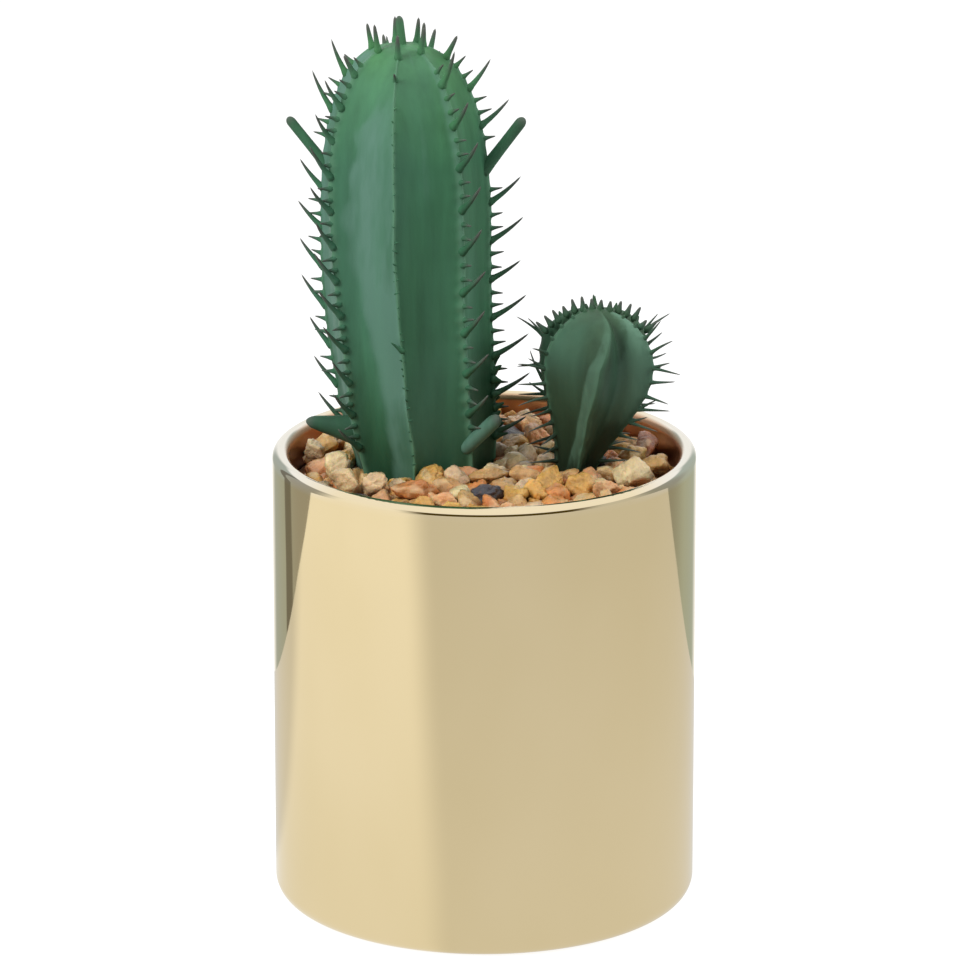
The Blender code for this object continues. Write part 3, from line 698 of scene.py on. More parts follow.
def make_pot():
    """The glazed pot, turned, with its edges shaded sharp only at the foot."""
    wall_mid = POT_RADIUS - POT_WALL / 2
    lip_base = POT_HEIGHT - POT_WALL / 2
    inner_edge = POT_INNER_RADIUS - POT_INNER_CORNER
    ring_outer = POT_RADIUS - POT_CORNER
    ring_inner = ring_outer - FOOT_RING_WIDTH
    profile = [(0.0, POT_FLOOR)]
    profile += arc((inner_edge, POT_FLOOR + POT_INNER_CORNER), POT_INNER_CORNER, -90, 0, 8)
    profile += [(POT_INNER_RADIUS, height) for height in (0.03, 0.06)]
    profile += arc((wall_mid, lip_base), POT_WALL / 2, 180, 0, 28)
    profile += [(POT_RADIUS, height) for height in (0.065, 0.045, 0.025)]
    profile += arc((ring_outer, POT_CORNER), POT_CORNER, 0, -90, 14)
    profile += [(ring_inner, 0.0), (ring_inner - FOOT_RECESS, FOOT_RECESS), (0.0, FOOT_RECESS)]
    points, faces = turned(profile, POT_SEGMENTS)
    pot = piece_from("glazed_pot", points, faces, glaze_finish())
    pot.data.set_sharp_from_angle(angle=math.radians(35))
    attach(pot, "root")
    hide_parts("pot")


def bed_height(x, y):
    """The height of the bed between the stones: it falls to the sides and the back."""
    return BED_TOP - BED_FALL_X * x * x - BED_FALL_Y * (y + POT_RADIUS / 2)


class Pile:
    """Stones that lie in a bed and on each other, and the height of their surface on a grid."""

    def __init__(self):
        self.axis = np.arange(-POT_RADIUS, POT_RADIUS + GRID_STEP, GRID_STEP)
        self.x, self.y = np.meshgrid(self.axis, self.axis, indexing="ij")
        self.surface = bed_height(self.x, self.y) - STONE_SINK
        self.surface[np.hypot(self.x, self.y) > POT_INNER_RADIUS - GAP] = POT_HEIGHT
        self.owner = np.full(self.x.shape, -1)
        self.stones = []
        self.random = np.random.default_rng(GRAVEL_SEED)
        self.colours = np.random.default_rng(GRAVEL_SEED + 2)
        for stem in (TALL, SMALL):
            centre = stem.centre(BED_TOP)
            away = np.hypot(self.x - centre.x, self.y - centre.y)
            self.surface[away < stem.radius(BED_TOP) * 0.95] = POT_HEIGHT

    def lay(self, spot, height, half, yaw, colour):
        """Add a stone with its centre at a spot and height."""
        window, depth = stone_patch(self.axis, spot, half * STONE_PACKING, yaw)
        top = np.where(depth > -1.0, height + depth, 0.0)
        over = top > self.surface[window]
        self.owner[window] = np.where(over, len(self.stones), self.owner[window])
        self.surface[window] = np.maximum(self.surface[window], top)
        self.stones.append((Vector((*spot, height)), half, yaw, colour, np.count_nonzero(top)))

    def drop(self, count, lengths, highest):
        """Drop stones one by one, each at the spot of a few where it stands lowest over the bed."""
        for _ in range(count):
            length = self.random.uniform(*lengths)
            width = length * self.random.uniform(*STONE_WIDTH)
            half = np.array([length, width, length * self.random.uniform(*STONE_DEPTH)])
            places = [self.rest(half) for _ in range(STONE_SPOTS)]
            rise, spot, height, yaw = min(places, key=lambda place: place[0])
            if rise < highest:
                self.lay(spot, height, half, yaw, self.pick_colour())

    def pick_colour(self):
        """A random stone colour, the common ones more often."""
        names = list(STONE_COLOURS)
        shares = np.array([STONE_COLOURS[name][1] for name in names])
        return str(self.colours.choice(names, p=shares / shares.sum()))

    def rest(self, half):
        """A random spot where a stone would rest, and how far it would stand over the bed."""
        reach = (POT_INNER_RADIUS - GAP - half[1]) * math.sqrt(self.random.uniform())
        bearing = self.random.uniform(0.0, math.tau)
        yaw = self.random.uniform(0.0, math.pi)
        if reach > POT_INNER_RADIUS - GAP - half[0]:
            yaw = bearing + math.pi / 2
        spot = (reach * math.cos(bearing), reach * math.sin(bearing))
        window, depth = stone_patch(self.axis, spot, half * STONE_PACKING, yaw)
        height = float(np.max(self.surface[window] + depth))
        return height + half[2] * STONE_PACKING - bed_height(*spot), spot, height, yaw

    def shown(self, number):
        """The share of a stone that shows from above."""
        return np.count_nonzero(self.owner == number) / self.stones[number][4]


def stone_patch(axis, spot, half, yaw):
    """The grid window that a stone covers, and its half height at each point there."""
    first = [int((value - half[0] - axis[0]) / GRID_STEP) for value in spot]
    last = [int((value + half[0] - axis[0]) / GRID_STEP) + 2 for value in spot]
    window = (slice(max(first[0], 0), last[0]), slice(max(first[1], 0), last[1]))
    across, along = np.meshgrid(axis[window[0]] - spot[0], axis[window[1]] - spot[1], indexing="ij")
    u = (across * math.cos(yaw) + along * math.sin(yaw)) / half[0]
    v = (along * math.cos(yaw) - across * math.sin(yaw)) / half[1]
    inside = 1.0 - u * u - v * v
    depth = np.where(inside > 0.0, half[2] * np.sqrt(np.maximum(inside, 0.0)), -2.0)
    return window, depth


def pile_stones():
    """The gravel: the large stones, smaller stones dropped round them, and chips in the gaps."""
    pile = Pile()
    for x, y, z, length, width, depth, yaw, colour in LARGE_STONES:
        half = np.array([length, width, depth]) / 1000
        pile.lay((x / 1000, y / 1000), z / 1000, half, yaw, colour)
    pile.drop(STONE_COUNT, STONE_LENGTH, STONE_RISE)
    pile.drop(INFILL_COUNT, INFILL_LENGTH, INFILL_RISE)
    pile.surface = np.maximum(pile.surface, bed_height(pile.x, pile.y))
    return pile


def sphere(subdivisions):
    """The points and triangles of a unit sphere."""
    mesh = bmesh.new()
    bmesh.ops.create_icosphere(mesh, subdivisions=subdivisions, radius=1.0)
    mesh.verts.ensure_lookup_table()
    points = np.array([vert.co[:] for vert in mesh.verts])
    faces = np.array([[vert.index for vert in face.verts] for face in mesh.faces])
    mesh.free()
    return points, faces


def stone_shape(directions, random):
    """How far a stone reaches in each direction: random flats with rounded edges, and dents."""
    normals = random.normal(size=(STONE_PLANES, 3))
    normals /= np.linalg.norm(normals, axis=1)[:, None]
    heights = random.uniform(0.58, 0.95, STONE_PLANES)
    facing = np.maximum(directions @ normals.T, 0.0) / heights
    reach = ((facing ** STONE_EDGE).sum(axis=1) + (1 / 1.20) ** STONE_EDGE) ** (-1.0 / STONE_EDGE)
    for scale, size in ((2.6, 0.12), (6.0, 0.09), (13.0, 0.05), (26.0, 0.02)):
        waves = random.normal(size=(5, 3)) * scale
        shifts = random.uniform(0.0, math.tau, 5)
        swell = np.cos(directions @ waves.T + shifts).mean(axis=1)
        reach += size * (np.abs(swell) * 2.0 - 0.5 if scale > 5.0 else swell)
    return reach


def make_gravel(pile):
    """Stones in one piece for each colour, on a thin dark bed."""
    random = np.random.default_rng(GRAVEL_SEED + 1)
    directions, faces = sphere(4)
    limit = POT_INNER_RADIUS - GAP
    heaps = {name: ([], [], []) for name in STONE_COLOURS}
    for number, (centre, half, yaw, colour, _) in enumerate(pile.stones):
        reach = stone_shape(directions, random)
        tilt = random.uniform(-0.3, 0.3, 2)
        tint = np.array(STONE_COLOURS[colour][0]) * random.uniform(0.88, 1.25)
        tint = tint * random.uniform(0.95, 1.05, 3)
        if pile.shown(number) < STONE_SHOWS:
            continue
        local = directions * reach[:, None] * half
        local[:, 2] += local[:, 0] * tilt[0] + local[:, 1] * tilt[1]
        x = centre.x + local[:, 0] * math.cos(yaw) - local[:, 1] * math.sin(yaw)
        y = centre.y + local[:, 0] * math.sin(yaw) + local[:, 1] * math.cos(yaw)
        z = centre.z + local[:, 2]
        out = np.maximum(np.hypot(x, y) / limit, 1.0)
        points, triangles, tints = heaps[colour]
        triangles.append(faces + len(directions) * len(points))
        points.append(np.column_stack((x / out, y / out, z)))
        # Painted shade: points near the bed are darker and redder
        deep = np.clip((z - bed_height(x, y) + 0.0004) / PAINTED_SHADE_HEIGHT, 0.0, 1.0)[:, None]
        tint_with_painted_shade = tint * (np.array(PAINTED_SHADE_TONE) + (1.0 - np.array(PAINTED_SHADE_TONE)) * deep)
        tints.append(np.column_stack((tint_with_painted_shade, np.ones(len(directions)))))
    for name, (points, triangles, tints) in heaps.items():
        finish = stone_finish(name, STONE_COLOURS[name][0])
        faces_list = np.vstack(triangles).tolist()
        heap = piece_from(
            "gravel_" + name, np.vstack(points), faces_list, finish, tints=np.vstack(tints)
        )
        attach(heap, "root")
        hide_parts("gravel")
    make_bed()


def make_bed():
    """A dark reddish-brown bed under the stones, seen in the gaps between them. The stems stand
    through it.
    """
    edge = POT_INNER_RADIUS - GAP
    reaches = [edge * i / 24 for i in range(25)]
    profile = [(reach, 1.0) for reach in reaches] + [(edge, BED_BOTTOM), (0.0, BED_BOTTOM)]
    points, faces = turned(profile, BED_SEGMENTS)
    points = [(x, y, bed_height(x, y) - BED_DROP if z > 0.5 else z) for x, y, z in points]
    finish = grit_finish("gravel_bed", (0.16, 0.06, 0.025), 0.5, (900.0, 4.0),
                         (0.07, 0.026, 0.012), (0.30, 0.12, 0.045), 0.0005)
    bed = piece_from("gravel_bed", points, faces, finish)
    bed.data.set_sharp_from_angle(angle=math.radians(40))
    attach(bed, "root")
    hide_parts("gravel")


# Stems


def wave(random, count, scale):
    """A smooth random function of one number, about -1 to 1."""
    speeds = random.uniform(0.4, 1.0, count) * scale
    shifts = random.uniform(0.0, math.tau, count)
    return lambda value: float(np.cos(value * speeds + shifts).mean()) * 1.6


def haze_share(stem, away, height, swell):
    """How bluish a point is, by its azimuth from the front crest: painted sheen where the flanks
    face the light.
    """
    away = (away + 180.0) % 360.0 - 180.0
    heights, widths, strengths = zip(*stem.painted_sheen)
    reach = max(stem.radius(height), 0.001)
    width = math.degrees(float(np.interp(height, heights, widths)) / reach) * (1.0 + 0.12 * swell)
    strength = float(np.interp(height, heights, strengths))
    soft = stem.haze_soft
    share = strength * smooth(-away, 0.0, 1.0) * smooth(-away, width + soft, width - soft)
    # Painted light on the far left flank, past the next crest
    edge = 360.0 / stem.ribs + stem.drift(0, height) - stem.drift(stem.ribs - 1, height)
    far = stem.far_haze * smooth(-away, edge + 1.0, edge + 4.0)
    share += far * smooth(-away, edge + 62.0, edge + 55.0)
    # Painted light in bands on the right
    for place, spread, amount, lowest in stem.right_haze:
        band = amount * math.exp(-((away - place) / spread) ** 2)
        share += band * smooth(height, lowest - 0.004, lowest + 0.004)
    return min(share, 1.0)


def surface_levels(stem):
    """Heights of a stem's rings, closer together towards the apex."""
    lower = stem.widest_height - stem.foot_height
    upper = stem.apex_height - stem.widest_height
    low_rows = int(stem.rows * 0.6)
    high_rows = stem.rows - low_rows
    levels = [stem.stub_height]
    levels += [stem.foot_height + lower * i / low_rows for i in range(low_rows)]
    for i in range(high_rows):
        levels.append(stem.widest_height + upper * math.sin(math.pi / 2 * i / high_rows))
    return levels


def body_mesh(stem, nubs):
    """The points, faces and attributes of a stem's body.

    nubs lists, for each rib, the heights of its spines, where the crest is a little raised.
    """
    random = np.random.default_rng(stem.seed)
    wander = [wave(random, 5, 520.0) for _ in range(stem.ribs)]
    # Three waves are drawn for each rib, and the first two shape its sides
    flank = [[wave(random, 5, 260.0) for _ in range(3)] for _ in range(stem.ribs)]
    edge_wave = [wave(random, 6, 2600.0) for _ in range(stem.ribs)]
    spacing = 360.0 / stem.ribs
    steps = np.linspace(-1.0, 1.0, stem.columns, endpoint=False)
    offsets = np.sign(steps) * np.abs(steps) ** COLUMN_CROWDING * spacing / 2
    points, crest, painted_sheen = [], [], []
    heights = surface_levels(stem)
    for height in heights:
        centre = stem.centre(height)
        radius = stem.radius(height)
        rooted = min(max((height - stem.foot_height) / RIB_START, 0.0), 1.0)
        fade = min(radius / (0.45 * stem.crest_radius), 1.0)
        for rib in range(stem.ribs):
            near = [math.exp(-((height - level) / NUB_LENGTH) ** 2) for level in nubs[rib]]
            nub = max(near, default=0.0)
            swing = wander[rib](height) * 0.9 * rooted * fade + stem.drift(rib, height)
            width, thickness = stem.bands[rib]
            edge = edge_wave[rib](height)
            half = width * (1.0 + 0.25 * edge + 0.35 * nub)
            for offset in offsets:
                share = abs(offset) / spacing
                valley = math.sin(math.pi * share) ** stem.rib_shape
                beyond = (abs(offset) - half) / (half * 0.7)
                band = 1.0 / (1.0 + math.exp(min(beyond * 3.0, 30.0)))
                swell = flank[rib][0 if offset < 0 else 1](height)
                side = swell * math.sin(math.tau * share) * FLANK_SWELL
                drop = radius * stem.rib_depth * valley
                raised = band * (thickness * (0.8 + 0.2 * edge) + NUB_RISE * nub)
                if (rib == 0 and offset < 0) or (rib == stem.ribs - 1 and offset > 0):
                    drop *= stem.left_valley
                reach = radius - rooted * (drop - (raised + side) * fade)
                azimuth = stem.rib_azimuth(rib) + offset + swing * (1.0 - 2.0 * share)
                azimuth = math.radians(azimuth)
                points.append(centre + outward(azimuth) * reach)
                crest.append(band * rooted * fade)
                # Painted sheen, by azimuth from the front crest
                away = math.degrees(azimuth) - stem.first_rib - stem.drift(0, height)
                swell = edge_wave[1](height * 0.35)
                painted_sheen.append(haze_share(stem, away, height, swell) * fade)
    count = stem.ribs * stem.columns
    top = len(points)
    points.append(stem.centre(stem.apex_height))
    crest.append(0.0)
    painted_sheen.append(0.0)
    faces = ring_faces(len(heights), count) + cap_faces(top - count, count, top)
    faces.append(tuple(reversed(range(count))))
    return points, faces, crest, painted_sheen


def tall_spines():
    """The spines and pegs of the tall stem, rib by rib."""
    random = np.random.default_rng(SPINE_SEED)
    spines = []
    for azimuth, height, length, radius, lift, turn, root, sink in TALL_PEGS:
        spines.append(Spine(azimuth, height, length, radius, lift, 0.0, "peg", turn, root, sink))
    for rib in range(TALL.ribs):
        pitch = TALL_LONG_PITCH[rib] / 3
        heights = TALL.heights_down_rib(TALL_ANCHORS[rib], pitch, TALL_LOWEST)
        long_heights = TALL.heights_down_rib(TALL_ANCHORS[rib], pitch * 3, TALL_LOWEST)
        for height in heights:
            azimuth = TALL.crest_azimuth(rib, height)
            is_long = min(abs(height - other) for other in long_heights) < pitch / 3
            size = random.uniform(0.88, 1.10)
            if not wanted_on_tall(rib, azimuth, height, is_long):
                continue
            if is_long:
                lift = TALL_LIFTS[rib] * random.uniform(0.85, 1.15)
                shape = (TALL_LONG * size, TALL_LONG_RADII[rib], lift, 0.16)
                if height > TALL_CROWN_FROM:
                    shape = (TALL_CROWN * size, TALL_CROWN_RADIUS, lift, 0.04, "stub")
            else:
                shape = (TALL_SHORT * size, TALL_SHORT_RADIUS, random.uniform(-0.05, 0.25))
            spines.append(Spine(azimuth, height, *shape))
    return spines


def clump_spines():
    """The ragged lump of short thick spines low on the right, where the mould leaked."""
    random = np.random.default_rng(SPINE_SEED + 3)
    spines = []
    for height in np.linspace(*TALL_CLUMP, CLUMP_SPINES):
        azimuth = TALL.rib_azimuth(CLUMP_RIB) + random.uniform(-5.0, 5.0)
        length = random.uniform(0.0010, 0.0026)
        lift = random.uniform(-0.2, 1.0)
        turn = random.uniform(-30.0, 30.0)
        shape = (length, CLUMP_RADIUS, lift, 0.0, "tooth", turn)
        spines.append(Spine(azimuth, float(height), *shape))
    return spines


def wanted_on_tall(rib, azimuth, height, is_long):
    """Whether a spine is there: none beside a peg or at the very apex, few on the front rib."""
    if TALL.radius(height) < CROWN_CLEAR:
        return False
    if rib == 0 and height < TALL_FRONT_BARE:
        return False
    for peg in TALL_PEGS:
        swing = abs((azimuth - peg[0] + 180.0) % 360.0 - 180.0)
        if swing < 15.0 and abs(height - peg[1]) < PEG_CLEAR:
            return False
    return is_long or height < TALL_SHORT_TOP


def small_spines():
    """The spines of the small stem: short and thick over the crown, thin and long below it."""
    random = np.random.default_rng(SPINE_SEED + 1)
    spines = []
    for rib in range(SMALL.ribs):
        azimuth = SMALL.rib_azimuth(rib)
        heights = SMALL.heights_down_rib(SMALL_ANCHORS[rib], SMALL_PITCH, SMALL_LOWEST)
        for height in heights:
            size = random.uniform(0.62, 1.12)
            lift = random.uniform(-0.10, 0.50)
            turn = random.uniform(-16.0, 16.0)
            at_apex = height > SMALL.widest_height and SMALL.radius(height) < 0.0015
            if rib == 0 or at_apex:
                continue
            if height > SMALL_CROWN_FROM:
                length = SMALL_CROWN * (1.0 if rib == 3 else 0.45)
                shape = (length * size, SMALL_TOOTH_RADIUS, 0.3)
                spines.append(Spine(azimuth, height, *shape, kind="tooth"))
                continue
            curl = random.uniform(-0.22, 0.22)
            shapes = [(SMALL_LONG * size, SMALL_LONG_RADIUS, lift)]
            if size > SMALL_TWIN_FROM:
                shapes.append((SMALL_LONG * size * 0.7, SMALL_TWIN_RADIUS, lift + 0.5))
            spines += [Spine(azimuth, height, *shape, curl, turn=turn) for shape in shapes]
    return spines + crown_row(random)


def crown_row(random):
    """The row of short thick spines over the small stem's dome, from side to side."""
    spines = []
    for side in (-90.0, 90.0):
        start = SMALL.apex_height - 0.00002
        for height in SMALL.heights_down_rib(start, SMALL_CROWN_PITCH, SMALL_CROWN_FROM):
            if SMALL.radius(height) < 0.0006:
                continue
            azimuth = side + random.uniform(-12.0, 12.0)
            size = random.uniform(0.72, 1.18)
            shape = (SMALL_CROWN * size, SMALL_CROWN_RADIUS, 0.15)
            spines.append(Spine(azimuth, height, *shape, kind="stub"))
    return spines


def front_teeth():
    """Tiny teeth along the front crest of the tall stem, where its mould parted."""
    random = np.random.default_rng(SPINE_SEED + 2)
    teeth = []
    height, highest = TEETH
    while height < highest:
        height += random.uniform(0.0012, 0.0030)
        size = random.uniform(0.0005, 0.0010)
        turn = float(random.choice((-1.0, 1.0)) * random.uniform(20.0, 70.0))
        azimuth = TALL.crest_azimuth(0, height)
        teeth.append(Spine(azimuth, height, size, TOOTH_RADIUS, 0.5, 0.0, "tooth", turn))
    height, *shape = LARGE_TOOTH
    teeth.append(Spine(TALL.crest_azimuth(0, height), height, *shape, 0.0, "tooth", -60.0))
    return teeth


def samples(root, direction, length):
    """Points along a spine, for clearance tests."""
    return [root + direction * length * share for share in (0.4, 0.6, 0.8, 1.0)]


def blocked(point, radius, pile, taken):
    """Whether a point is too near the gravel, the pot's wall or a point that is taken."""
    clear = radius + SPINE_CLEARANCE
    reach = math.hypot(point.x, point.y)
    if reach < POT_INNER_RADIUS:
        i = int(round((point.x - pile.axis[0]) / GRID_STEP))
        j = int(round((point.y - pile.axis[0]) / GRID_STEP))
        around = pile.surface[i - 2:i + 3, j - 2:j + 3]
        ground = around[around < POT_HEIGHT - GAP]
        if len(ground) and point.z < ground.max() + clear:
            return True
    if reach > POT_INNER_RADIUS - clear and point.z < POT_HEIGHT + clear:
        return True
    return any((point - other).length < clear + 0.0005 for other in taken)


def placed(stem, spine, pile, taken):
    """The root and direction of a spine, bent up step by step until it is clear."""
    normal = stem.crest_normal(spine.azimuth, spine.height)
    angle = math.radians(spine.turn)
    x = normal.x * math.cos(angle) - normal.y * math.sin(angle)
    y = normal.x * math.sin(angle) + normal.y * math.cos(angle)
    surface_point = stem.point(spine.azimuth, spine.height)
    lift = spine.lift
    for _ in range(20):
        direction = Vector((x, y, normal.z + lift)).normalized()
        root = surface_point - direction * spine.sink
        points = samples(root, direction, spine.length + spine.sink)
        if not any(blocked(point, spine.radius, pile, taken) for point in points):
            return root, direction, points
        lift += 0.12
    return None


def spine_profile(spine, share):
    """The radius of a spine at a share of its length: a flared root, then a slim taper."""
    if spine.kind == "peg":
        cap = min(1.0, (1.0 - share) * spine.length / (spine.radius * 1.1))
        dome = math.sqrt(max(1.0 - (1.0 - cap) ** 2, 0.0))
        spread = (spine.root - 1.0) * (1.0 - share) ** (1.0 if spine.root > 2.0 else 4.0)
        heel = min(1.0, share * (spine.length + spine.sink) / spine.radius + 0.1)
        heel_dome = math.sqrt(1.0 - (1.0 - heel) ** 2)
        return spine.radius * (1.0 + spread) * dome * heel_dome
    surface = spine.sink / (spine.length + spine.sink)
    flare = 0.28 * math.exp(-((share - surface) / (0.9 * surface)) ** 2)
    taper = (1.0 - share) ** (0.45 if spine.kind == "stub" else 0.80)
    rooted = 0.35 + 0.65 * smooth(share, 0.0, surface * 0.8)
    return spine.radius * (flare + 0.12 + 0.80 * taper) * rooted


def spine_mesh(root, direction, spine, random):
    """The points, faces and tip shares of one spine."""
    length = spine.length + spine.sink
    is_peg = spine.kind == "peg"
    sides = PEG_SIDES if is_peg else SPINE_SIDES
    shares = PEG_SHARES if is_peg else [i / SPINE_RINGS for i in range(SPINE_RINGS)]
    turn = direction.to_track_quat("Z", "Y")
    side = direction.cross(Vector((0.0, 0.0, 1.0)))
    up = side.cross(direction).normalized()
    side.normalize()
    bend = random.uniform(-0.05, 0.05) if spine.kind == "spine" else 0.0
    bow = up * spine.curl + side * bend
    points = []
    tips = []
    for share in shares:
        middle = root + direction * length * share + bow * (length * share * share)
        radius = spine_profile(spine, share)
        for i in range(sides):
            angle = math.tau * i / sides
            around = Vector((math.cos(angle) * radius, math.sin(angle) * radius, 0.0))
            around.rotate(turn)
            points.append(middle + around)
        tips += [tip_share(spine, share)] * sides
    end = len(points)
    points.append(root + direction * length + bow * length)
    tips.append(tip_share(spine, 1.0))
    faces = [tuple(reversed(range(sides)))] + ring_faces(len(shares), sides)
    return points, faces + cap_faces(end - sides, sides, end), tips


def tip_share(spine, share):
    """How much of the tip's colour a point has: spines grey towards the tip, pegs stay green."""
    if spine.kind in ("spine", "stub"):
        return 0.05 + 0.95 * share
    return 0.44 + 0.31 * smooth(share, 0.80, 1.0) if spine.kind == "peg" else 0.0


def make_stem(stem, name, spines, teeth, finish, pile, taken):
    """A stem's body with all its spines, in one piece. Returns the points that its spines take."""
    random = np.random.default_rng(stem.seed)
    nubs = [[] for _ in range(stem.ribs)]
    for rib, heights in enumerate(nubs):
        for spine in spines:
            if abs(spine.azimuth - stem.crest_azimuth(rib, spine.height)) < 1.0:
                heights.append(spine.height)
    points, faces, crest, painted_sheen = body_mesh(stem, nubs)
    tips = [0.0] * len(points)
    used = []
    for spine in spines + teeth:
        place = placed(stem, spine, pile, taken)
        if place is None:
            continue
        root, direction, along = place
        more, more_faces, more_tips = spine_mesh(root, direction, spine, random)
        faces += [tuple(i + len(points) for i in face) for face in more_faces]
        points += more
        tips += more_tips
        crest += [0.0] * len(more)
        # The low right peg has painted sheen all over
        peg_with_sheen = spine.kind == "peg" and spine.height < 0.1 and spine.azimuth > 0.0
        painted_sheen += [0.75 if peg_with_sheen else 0.0] * len(more)
        used += along
    piece = piece_from(name, points, faces, finish, {"crest": crest, "tip": tips, "painted_sheen": painted_sheen})
    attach(piece, "root")
    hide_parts(stem.name)
    return used


# Studio


def table_glow(x, y):
    """The painted glow of the table at a spot: brighter on the left, a painted pool of window
    light.
    """
    out = max(math.hypot(x, y) - POT_RADIUS, 0.0)
    far = min(out / GLOW_FAR, 1.0)
    plain = GLOW_PLAIN[0] + GLOW_PLAIN[1] * far
    bright = GLOW_BRIGHT[0] + GLOW_BRIGHT[1] * far
    ahead = -y - GLOW_START[1]
    bend = GLOW_BEND * (math.hypot(ahead, GLOW_ROUND) - GLOW_ROUND)
    edge = GLOW_START[0] - GLOW_SLOPE * ahead - bend
    blur = GLOW_BLUR[0] + GLOW_BLUR[1] * out
    share = smooth(x - edge, blur, -blur)
    share *= smooth(math.degrees(math.atan2(x, -y)), *GLOW_END)
    return plain + (bright - plain) * share


def make_table():
    """The pale table that the pot mirrors, glowing with painted light: a fan round the pot that
    ends at a straight edge.
    """
    columns = []
    for facing in np.linspace(-TABLE_FAN, TABLE_FAN, TABLE_COLUMNS):
        angle = math.radians(facing)
        away = outward(2 * angle)
        wall = outward(angle) * POT_RADIUS
        back, skew = TABLE_EDGES[0 if facing < 0.0 else 1]
        climb = away.y - skew * away.x
        reach = TABLE_REACH
        if climb > 0.01:
            reach = min((back + skew * wall.x - wall.y) / climb, TABLE_REACH)
        shares = [step / (TABLE_ROWS - 2) for step in range(TABLE_ROWS - 1)]
        spread = [wall + away * (reach * share ** TABLE_CROWDING) for share in shares]
        columns.append([wall] + spread)
    spots = [spot for ring in zip(*columns) for spot in ring]
    points = []
    for number, spot in enumerate(spots):
        inward = 0.5 if number < TABLE_COLUMNS else 1.0
        points.append((spot.x * inward, spot.y * inward, TABLE_HEIGHT))
    finish = Tree(bpy.data.materials.new("table"))
    finish.nodes.remove(finish.nodes["Principled BSDF"])
    light = {"Color": (1.0, 0.985, 0.95), "Strength": finish.attribute("glow")}
    surface = finish.nodes["Material Output"].inputs["Surface"]
    finish.put(surface, finish.add("Emission", 0, light))
    glows = [table_glow(spot.x, spot.y) for spot in spots]
    faces = ring_faces(TABLE_ROWS, TABLE_COLUMNS)
    card = piece_from("table", points, faces, finish.owner, {"glow": glows})
    card.visible_camera = False
    card.visible_diffuse = False
    card.visible_shadow = False
    card.visible_transmission = False


def make_floor():
    """A plain white floor. It only shows to the camera, and reflections see the table below it."""
    square = ((-1, -1), (1, -1), (1, 1), (-1, 1))
    corners = [(x * FLOOR_REACH, y * FLOOR_REACH, 0) for x, y in square]
    finish = Finish("floor", (0.35, 0.35, 0.35), 0.9)
    finish.look({"Specular IOR Level": 0.0, "Emission Color": WHITE, "Emission Strength": 0.86})
    floor = piece_from("floor", corners, [(0, 1, 2, 3)], finish.owner)
    floor.visible_glossy = False
    floor.visible_diffuse = False


def mirrored_room(sky):
    """What reflections see: a bright ceiling, a pale screen behind, and a darker room round them.

    A dark post stands at the left, and the dark front is between a window and a pale door.
    """
    x, y, z = (sky.place(axis, "Generated") for axis in "XYZ")
    aside = sky.math("ABSOLUTE", x)
    corner = sky.step(aside, 0.60, 0.85)
    left_wall = sky.mix(corner, (0.41, 0.45, 0.42), (0.366, 0.363, 0.333))
    right_wall = sky.mix(corner, (0.43, 0.485, 0.445), (0.33, 0.34, 0.31))
    walls = sky.mix(sky.step(x, -0.2, 0.2), left_wall, right_wall)
    from_post = sky.math("ABSOLUTE", sky.math("ADD", x, 0.69))
    walls = sky.mix(sky.step(from_post, 0.042, 0.060), (0.19, 0.185, 0.16), walls)
    front = sky.mix(sky.step(x, -0.75, -0.50), (1.0, 1.0, 0.98), (0.075, 0.055, 0.015))
    front = sky.mix(sky.step(x, 0.70, 0.92), front, (0.62, 0.62, 0.60))
    room = sky.mix(sky.step(y, -0.15, 0.25), front, walls)
    screen = sky.step(sky.math("MULTIPLY_ADD", aside, -1.7, y), 0.25, 0.65)
    room = sky.mix(screen, room, (0.95, 0.95, 0.93))
    return sky.mix(sky.step(z, 0.38, 0.46), room, WHITE)


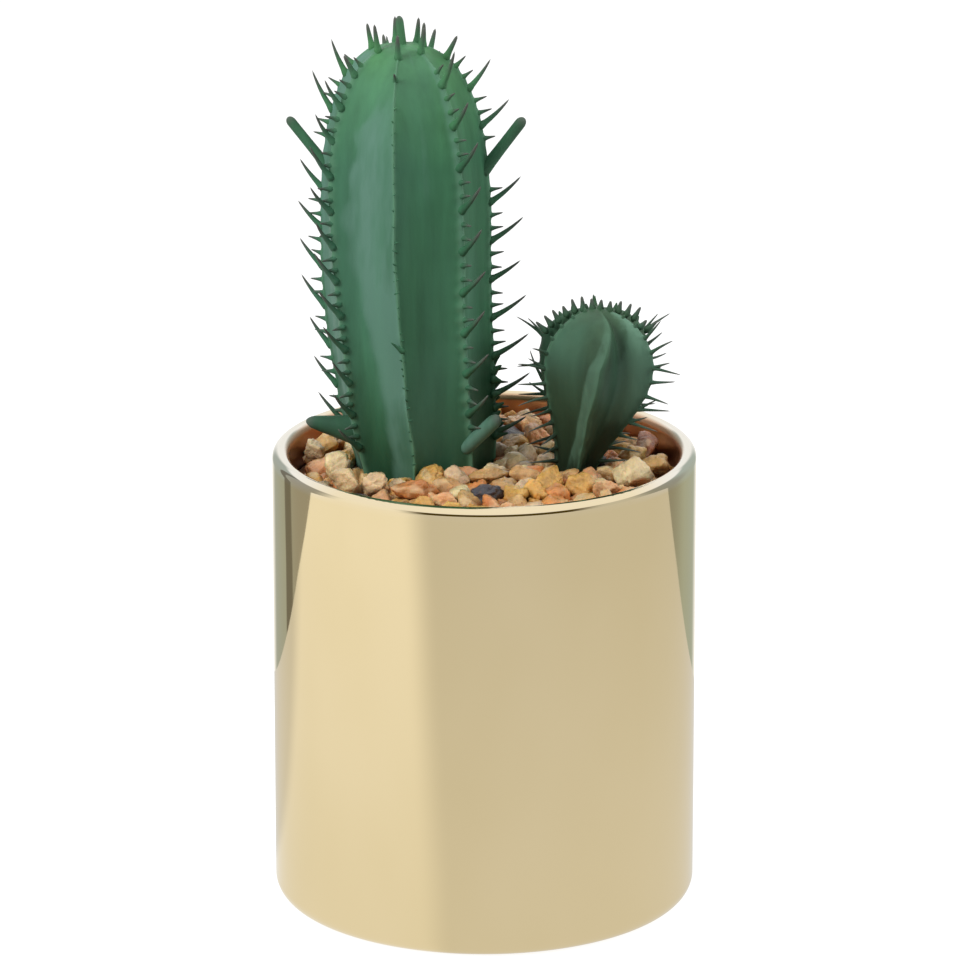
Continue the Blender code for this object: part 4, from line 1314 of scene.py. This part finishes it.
def make_world():
    """Dim white light all round, white behind for the camera, and the room for reflections."""
    world = bpy.data.worlds.new("studio")
    bpy.context.scene.world = world
    sky = Tree(world)
    sky.nodes.clear()
    lights = []
    for colour, strength in ((WHITE, 0.28), (mirrored_room(sky), 1.0), (WHITE, 1.0)):
        lights.append(sky.add("Background", 0, {"Color": colour, "Strength": strength}))
    shown = lights[0]
    for ray, light in zip(("Is Glossy Ray", "Is Camera Ray"), lights[1:]):
        shown = sky.add("MixShader", 0, {0: sky.add("LightPath", ray, {}), 1: shown, 2: light})
    sky.put(sky.nodes.new("ShaderNodeOutputWorld").inputs["Surface"], shown)


def area_light(name, place, size, energy, colour):
    """A square soft light that faces the object."""
    light = bpy.data.lights.new(name, "AREA")
    light.shape = "SQUARE"
    light.size = size
    light.energy = energy
    light.color = colour
    lamp = added(name, light)
    lamp.location = place
    aim = Vector(LAMP_TARGET) - Vector(place)
    lamp.rotation_euler = aim.to_track_quat("-Z", "Y").to_euler()
    lamp.visible_glossy = False


def make_studio():
    """Soft studio light, the floor, the table and the camera."""
    make_floor()
    make_table()
    make_world()
    for lamp in LAMPS:
        area_light(*lamp)
    camera = bpy.data.cameras.new("camera")
    camera.lens = CAMERA_LENS
    camera.sensor_width = 36.0
    camera.clip_end = 100.0
    viewer = added("camera", camera)
    viewer.location = CAMERA_PLACE
    viewer.rotation_euler = (math.radians(90.0 - CAMERA_TILT), 0.0, 0.0)
    bpy.context.scene.camera = viewer
    bpy.context.scene.view_settings.view_transform = "Standard"


def main():
    """Build every piece and the studio."""
    make_pot()
    soil = grit_finish("soil", (0.05, 0.035, 0.025), 0.95, (700.0, 5.0),
                       (0.02, 0.014, 0.01), (0.10, 0.07, 0.05), 0.0006)
    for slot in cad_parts["soil_fill"].material_slots:
        slot.material = soil
    pile = pile_stones()
    make_gravel(pile)
    tall_green = stem_finish("tall_green", **TALL_GREEN)
    small_green = stem_finish("small_green", **SMALL_GREEN)
    teeth = front_teeth() + clump_spines()
    taken = make_stem(TALL, "cactus_tall", tall_spines(), teeth, tall_green, pile, [])
    make_stem(SMALL, "cactus_small", small_spines(), [], small_green, pile, taken)
    make_studio()


main()
